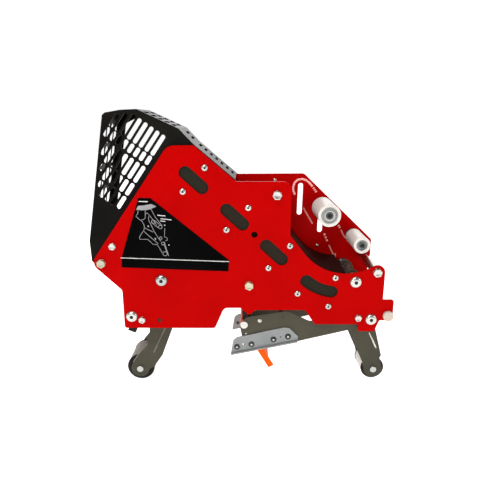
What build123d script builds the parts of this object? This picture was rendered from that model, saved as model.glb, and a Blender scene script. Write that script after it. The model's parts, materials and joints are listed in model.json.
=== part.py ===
from build123d import *

import math
import os

# Taping head of a carton sealer, in millimetres.
# X runs along the head: cartons enter at +X and leave at -X.
# Y runs across the head: the near side plate lies at -Y, the far one at +Y.
# Z is up, and the floor that the two rollers stand on is Z = 0.

os.makedirs("parts", exist_ok=True)

# ---------------------------------------------------------------- driving sizes
head_width = 102.0        # over the two side plates
plate_t = 3.0             # side plate sheet
base_z = 103.3            # floor to the lower edge of the side plates
liner_t = 2.0             # guide brackets behind the plate slots
guard_t = 1.2             # guard sheet
arm_t = 2.5               # roller arm sheet
cutoff_t = 2.5            # cut-off frame sheet
slide_t = 2.0             # slide plate sheet
slot_w = 19.4             # width of the slots along the tape path
apply_roller_r = 19.0     # applying roller
apply_roller_len = 44.0
buff_roller_r = 22.3      # buffing roller
buff_roller_len = 54.0
tension_r = 17.3          # tension roller
tension_len = 70.0
wrap_r = 13.0             # wrap roller
wrap_len = 60.0
shaft_r = 4.0             # roller, guard and wrap roller shafts
pivot_r = 6.0             # arm pivot stubs
knife_len = 65.0

# clearances
run_fit = 0.05            # radial, shaft in its bush
hole_fit = 0.2            # radial, bolt in a plate hole
side_gap = 0.4            # sideways, between parts that turn

# fasteners
m5_r, m5_head_r, m5_head_h = 2.5, 4.7, 2.6
m6_r, m6_flats, m6_head_h = 3.0, 10.6, 4.0
m8_r, m8_flats, m8_head_h = 4.0, 13.4, 5.3
big_head_r, big_head_h = 8.6, 4.0
slide_head_h = 2.0
shaft_nut_over = 1.2      # shaft end past its nut

# ---------------------------------------------------------------- derived sizes
NEAR, FAR = 1, -1
SIDES = (("near", NEAR), ("far", FAR))
inner_half = head_width / 2 - plate_t
outer_half = head_width / 2
guard_half = inner_half - guard_t
cutoff_outer = inner_half - 4.0
cutoff_inner = cutoff_outer - cutoff_t
apply_arm_in = apply_roller_len / 2 + 2.5
apply_arm_out = apply_arm_in + arm_t
buff_arm_in = buff_roller_len / 2 + 3.5
buff_arm_out = buff_arm_in + arm_t


def at(x, height):
    """A point of the side plates, its height taken from their lower edge."""
    return (x, base_z + height)


def layer(side, inner, thickness):
    """Plane for a sheet on one side of the head, from inner outwards."""
    return Plane.XZ.offset(inner if side == NEAR else -inner - thickness)


def between(low, high):
    """Plane and length for a piece that runs across the head from low to high in -Y."""
    return Plane.XZ.offset(low), high - low


def swung(centre, radius, degrees):
    """The point below centre at a radius, swung by degrees towards -X."""
    angle = math.radians(degrees)
    return (centre[0] - radius * math.sin(angle), centre[1] - radius * math.cos(angle))


def rounded_outline(points):
    """Closed outline of (x, height, corner radius) points."""
    corners = [at(x, height) for x, height, _ in points]
    FilletPolyline(*corners, radius=[r for _, _, r in points], close=True)


# ---------------------------------------------------------------- places on the plates
right_edge = 213.0
block_top = 229.5
tie_rod_points = [at(47.3, 209.8), at(200.9, 92.3), at(-215.8, 106.1)]
stud_post_points = [at(7.1, 71.2)]
guide_screw_points = [
    at(-57.2, 249.0), at(-89.6, 214.8), at(5.3, 191.1), at(-26.7, 158.0), at(67.7, 133.4),
    at(36.1, 99.0), at(138.2, 83.3), at(81.3, 57.8), at(129.3, 36.9),
]
hex_screw_points = [at(-197.4, 132.5), at(-159.3, 14.1)]
stop_points = [at(-175.1, 19.5), at(196.7, 15.3)]
apply_pivot = at(169.5, 76.5)
buff_pivot = at(-126.6, 78.6)
cutoff_pivot = at(176.4, 18.1)
plain_holes = [(at(14.8, 150.5), 4.8), (at(-132.8, 12.7), 3.5)]

slot_angle = -42.4
slot_len = 51.0
slot_centres = [at(-73.3 + 58.8 * i, 231.2 - 54.1 * i) for i in range(3)]
curved_slot = [at(94.5, 78.0), at(113.0, 66.3), at(133.5, 60.6)]

tension_point = at(127.9, 176.0)
wrap_point = at(181.0, 128.5)
tension_slots = [(tension_point, at(127.3, 135.0)), (at(92.8, 210.3), at(91.9, 165.1))]
tension_slot_w = 2 * shaft_r + 0.3

apply_axis = (213.1, apply_roller_r)
buff_axis = (-171.5, buff_roller_r)

# edge of the near plate from the left tip clockwise to the upper block
tip_and_top = [
    (-231.6, 105.3, 14), (-109.6, 280.4, 19), (-72.3, 280.4, 2), (-12.1, block_top, 5),
]
# lower edge of both plates, from the right edge clockwise to the left one
lower_edge = [
    (right_edge, 47.7, 2), (230, 47.7, 3), (230, 13.8, 3), (210, 13.8, 3), (203, -4.9, 4),
    (177.5, -4.9, 3), (177.5, 7, 1), (109.5, 7, 4), (94, 30.6, 3), (17.5, 30.6, 1),
    (7, 22, 4), (-5.5, 33.9, 1), (-31.6, 33.9, 9), (-46, 0, 5), (-187.4, 0, 4),
    (-187.4, 62.7, 8),
]
hollow_r = 80.0           # curved cut that opens the near plate at the tape rollers
near_edge = [(68, block_top, 13), (68, 149.5, 4), (133, 67.9, hollow_r), (right_edge, 110.3, 11)]
far_edge = [(98, block_top + 0.7, 8), (216, 119, 6), (216, 92, 10), (right_edge, 80, 10)]

# ---------------------------------------------------------------- side plates
for name, side in SIDES:
    edge = near_edge if side == NEAR else far_edge
    with BuildPart() as side_plate:
        with BuildSketch(layer(side, inner_half, plate_t)):
            with BuildLine():
                rounded_outline(tip_and_top + edge + lower_edge)
            make_face()
            with Locations(*slot_centres):
                SlotOverall(slot_len, slot_w, rotation=slot_angle, mode=Mode.SUBTRACT)
            SlotArc(Edge.make_three_point_arc(*curved_slot), slot_w, mode=Mode.SUBTRACT)
            with Locations(*tie_rod_points, *stud_post_points):
                Circle(m8_r + hole_fit, mode=Mode.SUBTRACT)
            with Locations(*guide_screw_points):
                Circle(m5_r + hole_fit, mode=Mode.SUBTRACT)
            with Locations(*hex_screw_points, cutoff_pivot):
                Circle(m6_r + hole_fit, mode=Mode.SUBTRACT)
            with Locations(*stop_points, apply_pivot, buff_pivot):
                Circle(m8_r + hole_fit, mode=Mode.SUBTRACT)
            if side == NEAR:
                for point, radius in plain_holes:
                    with Locations(point):
                        Circle(radius, mode=Mode.SUBTRACT)
            else:
                for top, foot in tension_slots:
                    slot_line = Edge.make_line(top, foot)
                    SlotArc(slot_line, tension_slot_w, mode=Mode.SUBTRACT)
                with Locations(wrap_point):
                    Circle(shaft_r + hole_fit, mode=Mode.SUBTRACT)
        extrude(amount=plate_t)
    side_plate.part.label = f"side_plate_{name}"
    export_step(side_plate.part, f"parts/side_plate_{name}.step")

# ---------------------------------------------------------------- rods and screws of the frame
tie_rod_r = 6.5
thread_depth = 12.0
with BuildPart() as tie_rods:
    plane, length = between(-inner_half, inner_half)
    with BuildSketch(plane):
        with Locations(*tie_rod_points):
            Circle(tie_rod_r)
    extrude(amount=length)
    for end in (inner_half - thread_depth, -inner_half):
        with BuildSketch(Plane.XZ.offset(end)):
            with Locations(*tie_rod_points):
                Circle(m8_r + hole_fit)
        extrude(amount=thread_depth, mode=Mode.SUBTRACT)
tie_rods.part.label = "tie_rods"
export_step(tie_rods.part, "parts/tie_rods.step")

post_len = 3.5
with BuildPart() as stud_posts:
    for _, side in SIDES:
        with BuildSketch(layer(side, inner_half - post_len, post_len)):
            with Locations(*stud_post_points):
                Circle(tie_rod_r)
                Circle(m8_r + hole_fit, mode=Mode.SUBTRACT)
        extrude(amount=post_len)
stud_posts.part.label = "stud_posts"
export_step(stud_posts.part, "parts/stud_posts.step")


def headed_screws(points, flats, head_h, shank_r, shank_len):
    """Hex screws through the side plates, heads outside, inside a BuildPart."""
    for _, face in SIDES:
        with BuildSketch(layer(face, outer_half, head_h)) as heads:
            with Locations(*points):
                RegularPolygon(flats / 2, 6, major_radius=False)
        extrude(heads.sketch, amount=head_h)
        with BuildSketch(layer(face, outer_half - shank_len, shank_len)) as shanks:
            with Locations(*points):
                Circle(shank_r)
        extrude(shanks.sketch, amount=shank_len)


def button_screws(points, head_r, head_h, shank_r, shank_len, seat):
    """Button head screws with a hex socket, heads outside seat, inside a BuildPart."""
    for _, face in SIDES:
        crown = head_h * 0.35
        with BuildSketch(layer(face, seat, head_h - crown)) as rims:
            with Locations(*points):
                Circle(head_r)
        extrude(rims.sketch, amount=head_h - crown)
        with BuildSketch(layer(face, seat + head_h - crown, crown)) as crowns:
            with Locations(*points):
                Circle(head_r * 0.8)
        extrude(crowns.sketch, amount=crown)
        with BuildSketch(layer(face, seat - shank_len, shank_len)) as shanks:
            with Locations(*points):
                Circle(shank_r)
        extrude(shanks.sketch, amount=shank_len)
        with BuildSketch(layer(face, seat + head_h * 0.3, head_h)) as sockets:
            with Locations(*points):
                RegularPolygon(shank_r * 0.6, 6)
        extrude(sockets.sketch, amount=head_h, mode=Mode.SUBTRACT)


with BuildPart() as tie_bolts:
    headed_screws(tie_rod_points, m8_flats, m8_head_h, m8_r, plate_t + thread_depth - 1)
    headed_screws(stud_post_points, m8_flats, m8_head_h, m8_r, plate_t + post_len)
tie_bolts.part.label = "tie_bolts"
export_step(tie_bolts.part, "parts/tie_bolts.step")

pivot_thread = 4.0        # threaded depth of the cut-off pivot stubs
with BuildPart() as frame_screws:
    headed_screws(hex_screw_points, m6_flats, m6_head_h, m6_r, plate_t + 2 * guard_t)
    headed_screws([cutoff_pivot], m6_flats, m6_head_h, m6_r, plate_t + pivot_thread - 1)
frame_screws.part.label = "frame_screws"
export_step(frame_screws.part, "parts/frame_screws.step")

with BuildPart() as guide_screws:
    screw_len = plate_t + liner_t
    button_screws(guide_screw_points, m5_head_r, m5_head_h, m5_r, screw_len, outer_half)
guide_screws.part.label = "guide_screws"
export_step(guide_screws.part, "parts/guide_screws.step")

stop_len = 11.0
with BuildPart() as mounting_studs:
    button_screws(stop_points, big_head_r, big_head_h, m8_r, plate_t + stop_len - 1, outer_half)
mounting_studs.part.label = "mounting_studs"
export_step(mounting_studs.part, "parts/mounting_studs.step")

stop_r = 8.0
with BuildPart() as stop_sleeves:
    for _, side in SIDES:
        with BuildSketch(layer(side, inner_half - stop_len, stop_len)):
            with Locations(*stop_points):
                Circle(stop_r)
                Circle(m8_r + hole_fit, mode=Mode.SUBTRACT)
        extrude(amount=stop_len)
stop_sleeves.part.label = "stop_sleeves"
export_step(stop_sleeves.part, "parts/stop_sleeves.step")

stub_screw_len = 14.0
with BuildPart() as pivot_screws:
    pivots = [apply_pivot, buff_pivot]
    button_screws(pivots, big_head_r, big_head_h, m8_r, plate_t + stub_screw_len - 1, outer_half)
pivot_screws.part.label = "pivot_screws"
export_step(pivot_screws.part, "parts/pivot_screws.step")

# ---------------------------------------------------------------- arm pivot stubs and springs
flange_t = 2.0
flange_r = 9.5
ring_r = 8.6
ring_t = 1.6


def pivot_stub(centre, arm_inner, side):
    """Stub shaft from a side plate through an arm, with its flange and retaining ring."""
    tip = arm_inner - side_gap / 2 - ring_t
    steps = (
        (inner_half - flange_t, flange_t, flange_r),
        (tip, inner_half - tip, pivot_r),
        (tip, ring_t, ring_r),
    )
    for low, run, radius in steps:
        with BuildSketch(layer(side, low, run)) as step:
            with Locations(centre):
                Circle(radius)
        extrude(step.sketch, amount=run)
    with BuildSketch(layer(side, inner_half - stub_screw_len, stub_screw_len)) as bore:
        with Locations(centre):
            Circle(m8_r + hole_fit)
    extrude(bore.sketch, amount=stub_screw_len, mode=Mode.SUBTRACT)


with BuildPart() as pivot_stubs:
    for _, side in SIDES:
        pivot_stub(apply_pivot, apply_arm_in, side)
        pivot_stub(buff_pivot, buff_arm_in, side)
pivot_stubs.part.label = "pivot_stubs"
export_step(pivot_stubs.part, "parts/pivot_stubs.step")


def coil_spring(centre, start, end, coil_r, wire_r, turns):
    """One helical torsion spring round an axis along Y, inside a BuildPart."""
    low, high = start + wire_r, end - wire_r
    foot = (centre[0], -low, centre[1])
    with BuildLine() as coil:
        Helix((high - low) / turns, high - low, coil_r, center=foot, direction=(0, -1, 0))
    with BuildSketch(Plane(origin=coil.line @ 0, z_dir=coil.line % 0)) as wire:
        Circle(wire_r)
    sweep(wire.sketch, path=coil.wires()[0], is_frenet=True)


arm_wire_r = 1.0
with BuildPart() as arm_springs:
    spring_end = inner_half - flange_t - side_gap
    for centre, arm_outer in ((apply_pivot, apply_arm_out), (buff_pivot, buff_arm_out)):
        start = arm_outer + side_gap
        coil_r = pivot_r + arm_wire_r + side_gap
        coil_spring(centre, start, spring_end, coil_r, arm_wire_r, 5)
arm_springs.part.label = "arm_springs"
export_step(arm_springs.part, "parts/arm_springs.step")

# ---------------------------------------------------------------- tape guides
bracket_len, bracket_w = 60.0, 58.0
curved_bracket = [
    (72, 57, 6), (80, 47, 5), (126, 27, 6), (140, 33, 6), (148, 80, 5), (139, 87.5, 4),
    (100, 96, 6), (84, 88, 6),
]
for name, side in SIDES:
    with BuildPart() as guide_brackets:
        with BuildSketch(layer(side, inner_half - liner_t, liner_t)):
            with Locations(*slot_centres):
                RectangleRounded(bracket_len, bracket_w, 6, rotation=slot_angle)
            with BuildLine():
                rounded_outline(curved_bracket)
            make_face()
            with Locations(*guide_screw_points):
                Circle(m5_r + hole_fit, mode=Mode.SUBTRACT)
        extrude(amount=liner_t)
    guide_brackets.part.label = f"guide_brackets_{name}"
    export_step(guide_brackets.part, f"parts/guide_brackets_{name}.step")

chute_t = 1.5
chute_angle = 51.5        # slope of its straight run, the same as the near plate's cut
chute_foot = at(91.6, 119.9)
chute_run = 62.0
with BuildPart() as tape_chute:
    slope = math.radians(chute_angle)
    down = (math.cos(slope), -math.sin(slope))
    head = (chute_foot[0] - chute_run * down[0], chute_foot[1] - chute_run * down[1])
    with BuildLine(Plane.XZ.offset(-inner_half)):
        Line(head, chute_foot)
        JernArc(chute_foot, down, hollow_r, chute_angle)
    make_brake_formed(chute_t, 2 * inner_half, side=Side.RIGHT)
tape_chute.part.label = "tape_chute"
export_step(tape_chute.part, "parts/tape_chute.step")

# ---------------------------------------------------------------- guard of perforated sheet
guard_line = [
    at(-231.0, 108.7), at(-232.1, 140), at(-199.5, 322), at(-195.5, 325.3), at(-174, 329),
    at(-151, 330), at(-93, 303.6), at(-72.9, 282.4), at(-13.4, 232.0),
]
guard_inner = [
    at(-18, 226), at(-76, 274.5), at(-106, 274.5), at(-193, 121), at(-205, 92), at(-213, 92),
    at(-226, 103),
]
far_window = [
    (-218.5, 150, 6), (-190, 310, 6), (-172, 318.5, 6), (-153.5, 320, 6), (-112.1, 301.3, 6),
]
perf_w = 6.2
perf_pitch = 9.8
perf_angle = 55.1
perf_origin = at(-143.6, 231.6)
perf_rows = [(51.8, 34.0), (26.2, 14.5), (1.7, 28.0), (-24.8, 20.5), (-48.5, 22.0)]
perf_first = 11.2
perf_columns = 9
edge_margin = 5.0


def perf_point(along, off):
    """A point of the slot grid, along the slots and off the red plate's slanted edge."""
    angle = math.radians(perf_angle)
    x = perf_origin[0] + along * math.cos(angle) - off * math.sin(angle)
    return (x, perf_origin[1] + along * math.sin(angle) + off * math.cos(angle))


def inside_guard(point):
    """True where a point lies inside the guard's outer line by the edge margin."""
    for (x0, z0), (x1, z1) in zip(guard_line[:-1], guard_line[1:]):
        length = math.hypot(x1 - x0, z1 - z0)
        inset = ((point[0] - x0) * (z1 - z0) - (point[1] - z0) * (x1 - x0)) / length
        if inset < edge_margin:
            return False
    return True


def perf_grid():
    """Slots of the near side panel as (centre, length), each clear of the panel's edge."""
    for row, (along, length) in enumerate(perf_rows):
        for column in range(perf_columns):
            off = perf_first + column * perf_pitch
            low, high = along - length / 2, along + length / 2
            while low < high - perf_w and not inside_guard(perf_point(low, off)):
                low += 1.0
            while low < high - perf_w and not inside_guard(perf_point(high, off)):
                high -= 1.0
            if high - low > 1.4 * perf_w:
                yield perf_point((low + high) / 2, off), high - low


for name, side in SIDES:
    with BuildPart() as guard_side:
        with BuildSketch(layer(side, guard_half, guard_t)):
            with BuildLine():
                Polyline(*guard_line, *guard_inner, close=True)
            make_face()
            with Locations(tie_rod_points[2]):
                Circle(tie_rod_r + side_gap, mode=Mode.SUBTRACT)
            with Locations(hex_screw_points[0]):
                Circle(m6_r + hole_fit, mode=Mode.SUBTRACT)
            if side == NEAR:
                for centre, length in perf_grid():
                    with Locations(centre):
                        SlotOverall(length, perf_w, rotation=perf_angle, mode=Mode.SUBTRACT)
            else:
                with BuildLine():
                    rounded_outline(far_window)
                make_face(mode=Mode.SUBTRACT)
        extrude(amount=guard_t)
    guard_side.part.label = f"guard_side_{name}"
    export_step(guard_side.part, f"parts/guard_side_{name}.step")


def panel_plane(start, end):
    """Plane on a guard panel: local x along its line, local y across the head."""
    middle = ((start[0] + end[0]) / 2, 0, (start[1] + end[1]) / 2)
    run = (end[0] - start[0], 0, end[1] - start[1])
    return Plane(origin=middle, x_dir=run, z_dir=(-run[2], 0, run[0]))


wall_rows, wall_cols = 5, 4
wall_slot, wall_slot_w, wall_pitch = 29.0, 16.0, 33.0
top_slot, top_slot_w, top_pitch = 36.0, 5.5, 10.6
slope_slot, slope_slot_w, slope_pitch = 30.0, 4.6, 10.6
slope_place = (0.0, 8.0)
with BuildPart() as guard_wrap:
    plane, run = between(-guard_half, guard_half)
    with BuildSketch(plane):
        with BuildLine():
            sheet = Polyline(*guard_line)
            offset(sheet, amount=guard_t, side=Side.RIGHT, kind=Kind.INTERSECTION, closed=True)
        make_face()
    extrude(amount=run)
    # end wall: upright slots in columns
    wall = panel_plane(guard_line[1], guard_line[2])
    with BuildSketch(wall):
        with GridLocations(wall_pitch, 2 * guard_half / (wall_cols + 1), wall_rows, wall_cols):
            SlotOverall(wall_slot, wall_slot_w)
    extrude(amount=2 * guard_t, both=True, mode=Mode.SUBTRACT)
    # top: two rows of cross slots
    top = panel_plane(guard_line[5], guard_line[6])
    with BuildSketch(top):
        with GridLocations(top_pitch, guard_half, 5, 2):
            SlotOverall(top_slot, top_slot_w, rotation=90)
    extrude(amount=2 * guard_t, both=True, mode=Mode.SUBTRACT)
    # corner and slope: one row of cross slots
    for first, count in ((6, 2), (7, 7)):
        with BuildSketch(panel_plane(guard_line[first], guard_line[first + 1])):
            with Locations(slope_place):
                with GridLocations(slope_pitch, 1.0, count, 1):
                    Rectangle(slope_slot_w, slope_slot)
        extrude(amount=2 * guard_t, both=True, mode=Mode.SUBTRACT)
guard_wrap.part.label = "guard_wrap"
export_step(guard_wrap.part, "parts/guard_wrap.step")

# ---------------------------------------------------------------- label, knob and bumpers
label_t = 0.4
label_corners = [
    at(-154.6, 205.5), at(-137.1, 205.5), at(-23.1, 111.2), at(-24.5, 93.6), at(-185.6, 99.7),
    at(-184.5, 116.0),
]
with BuildPart() as label_plate:
    with BuildSketch(layer(NEAR, outer_half, label_t)):
        with BuildLine():
            Polyline(*label_corners, close=True)
        make_face()
    extrude(amount=label_t)
label_plate.part.label = "label_plate"
export_step(label_plate.part, "parts/label_plate.step")

knob_point = at(222.2, 22.0)
knob_r, knob_h, knob_round = 8.2, 6.5, 1.5
with BuildPart() as edge_knob:
    with BuildSketch(layer(NEAR, outer_half, knob_h)):
        with Locations(knob_point):
            Circle(knob_r)
    extrude(amount=knob_h)
    fillet(edge_knob.faces().sort_by(Axis.Y)[0].edges(), radius=knob_round)
edge_knob.part.label = "edge_knob"
export_step(edge_knob.part, "parts/edge_knob.step")

bumper_t = 9.0
bumper_point, bumper_size, bumper_turn = at(-174.5, 0.5), (12.5, 17.0), -22
with BuildPart() as rubber_bumpers:
    for _, side in SIDES:
        with BuildSketch(layer(side, inner_half - bumper_t, bumper_t)):
            with Locations(bumper_point):
                Rectangle(*bumper_size, rotation=bumper_turn)
        extrude(amount=bumper_t)
rubber_bumpers.part.label = "rubber_bumpers"
export_step(rubber_bumpers.part, "parts/rubber_bumpers.step")

# ---------------------------------------------------------------- tape rollers
roller_wall = 4.5         # from the hub to the face of the sleeve
hub_t = 8.0
hub_set = 0.5             # hub face behind the end of the sleeve
journal_wall = 1.5        # step from the threaded end up to the journal
spacer_r = 9.0
shaft_socket = 8.0        # depth of the hex socket in the shaft's end


def tape_roller(roller_name, centre, radius, length):
    """White sleeve, metal hubs and cantilever shaft of one tape roller."""
    hub_r = radius - roller_wall
    with BuildPart() as sleeve:
        plane, run = between(-length / 2, length / 2)
        with BuildSketch(plane):
            with Locations(centre):
                Circle(radius)
                Circle(hub_r, mode=Mode.SUBTRACT)
        extrude(amount=run)
    sleeve.part.label = f"{roller_name}_roller"
    export_step(sleeve.part, f"parts/{roller_name}_roller.step")

    with BuildPart() as hubs:
        for low in (-length / 2 + hub_set, length / 2 - hub_set - hub_t):
            with BuildSketch(Plane.XZ.offset(low)):
                with Locations(centre):
                    Circle(hub_r - run_fit)
                    Circle(shaft_r + journal_wall + run_fit, mode=Mode.SUBTRACT)
            extrude(amount=hub_t)
    hubs.part.label = f"{roller_name}_roller_hubs"
    export_step(hubs.part, f"parts/{roller_name}_roller_hubs.step")

    with BuildPart() as shaft:
        tip = length / 2 + hub_set
        plane, run = between(-inner_half, tip)
        with BuildSketch(plane):
            with Locations(centre):
                Circle(shaft_r + journal_wall)
        extrude(amount=run)
        plane, run = between(-outer_half - m8_head_h - shaft_nut_over, -inner_half)
        with BuildSketch(plane):
            with Locations(centre):
                Circle(shaft_r)
        extrude(amount=run)
        plane, run = between(-inner_half, -length / 2 - side_gap)
        with BuildSketch(plane):
            with Locations(centre):
                Circle(spacer_r)
        extrude(amount=run)
        with BuildSketch(Plane.XZ.offset(tip - shaft_socket)):
            with Locations(centre):
                RegularPolygon(shaft_r, 6)
        extrude(amount=shaft_socket, mode=Mode.SUBTRACT)
    shaft.part.label = f"{roller_name}_shaft"
    export_step(shaft.part, f"parts/{roller_name}_shaft.step")


tape_roller("tension", tension_point, tension_r, tension_len)
tape_roller("wrap", wrap_point, wrap_r, wrap_len)

with BuildPart() as shaft_nuts:
    with BuildSketch(layer(FAR, outer_half, m8_head_h)):
        with Locations(tension_point, wrap_point):
            RegularPolygon(m8_flats / 2, 6, major_radius=False)
            Circle(shaft_r + hole_fit, mode=Mode.SUBTRACT)
    extrude(amount=m8_head_h)
shaft_nuts.part.label = "shaft_nuts"
export_step(shaft_nuts.part, "parts/shaft_nuts.step")

# ---------------------------------------------------------------- roller arms
bush_wall = 2.0
arm_end_r = 14.8
pivot_end_r = 12.0
spacer_tube_r = 5.5
swing = 48.0                  # full swing of both arms, in degrees
link_lever = 20.0
link_pin_r = 3.0
link_boss_w = 4.5         # arm sheet round the link pin
link_eye_w = 4.0          # rod round the link pin
link_w = 8.0
link_t = 2.0
link_in = apply_arm_out + side_gap
rib_w = 2.4
apply_link_pin = swung(apply_pivot, link_lever, -swing / 2)
buff_link_pin = swung(buff_pivot, -link_lever, swing / 2)


def arm_frame(axis, pivot):
    """Unit vector up an arm from its roller axis to its pivot, and the one to its right."""
    span = math.hypot(pivot[0] - axis[0], pivot[1] - axis[1])
    up = ((pivot[0] - axis[0]) / span, (pivot[1] - axis[1]) / span)
    return up, (up[1], -up[0])


def on_arm(axis, pivot, along, across):
    """A point along an arm from its roller axis, and across it to the right."""
    up, right = arm_frame(axis, pivot)
    x = axis[0] + along * up[0] + across * right[0]
    return (x, axis[1] + along * up[1] + across * right[1])


arm_span = math.hypot(apply_pivot[0] - apply_axis[0], apply_pivot[1] - apply_axis[1])
apply_blade = [
    (2, -arm_end_r, 3), (17, -14.2, 8), (75, -24, 20), (arm_span, -pivot_end_r, 4),
    (arm_span, pivot_end_r, 4), (110, 18, 20), (21, 18, 1), (17.5, 14.8, 1), (2, arm_end_r, 3),
]
apply_rib = [(65, 7.1), (38, 12.4)]
apply_spacers = [(112.0, -2.0), (62.0, -9.0)]
buff_blade = [
    (2, -arm_end_r, 3), (24, -8.5, 8), (48, 2.5, 3), (58, -3.5, 1), (66, 0.5, 3),
    (128, -14, 20), (166, -pivot_end_r, 4), (166, pivot_end_r, 4), (84, 34, 20),
    (34, 29.5, 6), (10.5, 21.5, 6), (2, arm_end_r, 3),
]
buff_rib = [(80, 22.3), (35, 14.8)]
buff_spacers = [(112.0, 10.0), (62.0, 16.0)]

for arm, axis, pivot, blade, rib, spacers, inner in (
    ("apply", apply_axis, apply_pivot, apply_blade, apply_rib, apply_spacers, apply_arm_in),
    ("buff", buff_axis, buff_pivot, buff_blade, buff_rib, buff_spacers, buff_arm_in),
):
    link_pin = apply_link_pin if arm == "apply" else buff_link_pin
    for name, side in SIDES:
        with BuildPart() as arm_plate:
            with BuildSketch(layer(side, inner, arm_t)):
                with BuildLine():
                    corners = [on_arm(axis, pivot, a, c) for a, c, _ in blade]
                    FilletPolyline(*corners, radius=[r for _, _, r in blade], close=True)
                make_face()
                with Locations(axis):
                    Circle(arm_end_r)
                with Locations(pivot):
                    Circle(pivot_end_r)
                if side == FAR:
                    SlotArc(Edge.make_line(pivot, link_pin), 2 * (link_pin_r + link_boss_w))
                    with Locations(link_pin):
                        Circle(link_pin_r, mode=Mode.SUBTRACT)
                with Locations(axis):
                    Circle(shaft_r + hole_fit, mode=Mode.SUBTRACT)
                with Locations(pivot):
                    Circle(pivot_r + bush_wall, mode=Mode.SUBTRACT)
                with Locations(*[on_arm(axis, pivot, a, c) for a, c in spacers]):
                    Circle(m5_r + hole_fit, mode=Mode.SUBTRACT)
                rib_ends = [on_arm(axis, pivot, a, c) for a, c in rib]
                SlotArc(Edge.make_line(*rib_ends), rib_w, mode=Mode.SUBTRACT)
            extrude(amount=arm_t)
        arm_plate.part.label = f"{arm}_arm_{name}"
        export_step(arm_plate.part, f"parts/{arm}_arm_{name}.step")

    with BuildPart() as arm_spacers:
        plane, run = between(-inner, inner)
        with BuildSketch(plane):
            with Locations(*[on_arm(axis, pivot, a, c) for a, c in spacers]):
                Circle(spacer_tube_r)
        extrude(amount=run)
        plane, run = between(-inner - arm_t, inner + arm_t)
        with BuildSketch(plane):
            with Locations(*[on_arm(axis, pivot, a, c) for a, c in spacers]):
                Circle(m5_r)
        extrude(amount=run)
    arm_spacers.part.label = f"{arm}_arm_spacers"
    export_step(arm_spacers.part, f"parts/{arm}_arm_spacers.step")

    with BuildPart() as arm_bushes:
        for _, side in SIDES:
            with BuildSketch(layer(side, inner, arm_t)):
                with Locations(pivot):
                    Circle(pivot_r + bush_wall)
                    Circle(pivot_r + run_fit, mode=Mode.SUBTRACT)
            extrude(amount=arm_t)
    arm_bushes.part.label = f"{arm}_arm_bushes"
    export_step(arm_bushes.part, f"parts/{arm}_arm_bushes.step")

# link between the arms, on the far side: the wide eye at its open end sits half-way
# along the rise of its pin over the swing
link_eye_play = 2.2
link_far_eye_w = 3.2
link_lift = 2 * link_lever * (1 - math.cos(math.radians(swing / 2)))
link_eye = (buff_link_pin[0], buff_link_pin[1] + link_lift / 2)
with BuildPart() as link_rod:
    with BuildSketch(layer(FAR, link_in, link_t)):
        middle = Edge.make_line(apply_link_pin, buff_link_pin)
        SlotArc(middle, link_w)
        with Locations(apply_link_pin):
            Circle(link_pin_r + link_eye_w)
            Circle(link_pin_r + run_fit, mode=Mode.SUBTRACT)
        with Locations(link_eye):
            Circle(link_pin_r + link_eye_play + link_far_eye_w)
            Circle(link_pin_r + link_eye_play, mode=Mode.SUBTRACT)
    extrude(amount=link_t)
link_rod.part.label = "link_rod"
export_step(link_rod.part, "parts/link_rod.step")

for pin_name, pin_point, low, high in (
    ("apply_link_pin", apply_link_pin, apply_arm_in, link_in + link_t + side_gap),
    ("buff_link_pin", buff_link_pin, link_in - side_gap / 2, buff_arm_out),
):
    with BuildPart() as pin:
        with BuildSketch(layer(FAR, low, high - low)):
            with Locations(pin_point):
                Circle(link_pin_r)
        extrude(amount=high - low)
    pin.part.label = pin_name
    export_step(pin.part, f"parts/{pin_name}.step")

# ---------------------------------------------------------------- applying and buffing rollers
rim_t = 1.6
rim_step = 0.5            # sleeve below the rims
shaft_head_r, shaft_head_h, shaft_head_round = 5.4, 3.0, 1.0
core_bore = shaft_r + run_fit


def box_roller(roller_name, axis, radius, length, arm_outer):
    """Roller that runs on the carton: sleeve with two rims, and its shaft."""
    with BuildPart() as sleeve:
        plane, run = between(-length / 2 + rim_t, length / 2 - rim_t)
        with BuildSketch(plane):
            with Locations(axis):
                Circle(radius - rim_step)
                Circle(core_bore, mode=Mode.SUBTRACT)
        extrude(amount=run)
    sleeve.part.label = f"{roller_name}_roller"
    export_step(sleeve.part, f"parts/{roller_name}_roller.step")

    with BuildPart() as rims:
        for low in (-length / 2, length / 2 - rim_t):
            with BuildSketch(Plane.XZ.offset(low)):
                with Locations(axis):
                    Circle(radius)
                    Circle(core_bore, mode=Mode.SUBTRACT)
            extrude(amount=rim_t)
    rims.part.label = f"{roller_name}_roller_rims"
    export_step(rims.part, f"parts/{roller_name}_roller_rims.step")

    with BuildPart() as roller_shaft:
        plane, run = between(-arm_outer - shaft_head_h, arm_outer + shaft_head_h)
        with BuildSketch(plane):
            with Locations(axis):
                Circle(shaft_r)
        extrude(amount=run)
        for _, side in SIDES:
            with BuildSketch(layer(side, arm_outer, shaft_head_h)):
                with Locations(axis):
                    Circle(shaft_head_r)
            extrude(amount=shaft_head_h)
        ends = roller_shaft.edges().filter_by(GeomType.CIRCLE)
        ends = ends.group_by(Axis.Y)[0] + ends.group_by(Axis.Y)[-1]
        fillet(ends, radius=shaft_head_round)
    roller_shaft.part.label = f"{roller_name}_roller_shaft"
    export_step(roller_shaft.part, f"parts/{roller_name}_roller_shaft.step")


box_roller("apply", apply_axis, apply_roller_r, apply_roller_len, apply_arm_out)
box_roller("buff", buff_axis, buff_roller_r, buff_roller_len, buff_arm_out)

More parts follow.
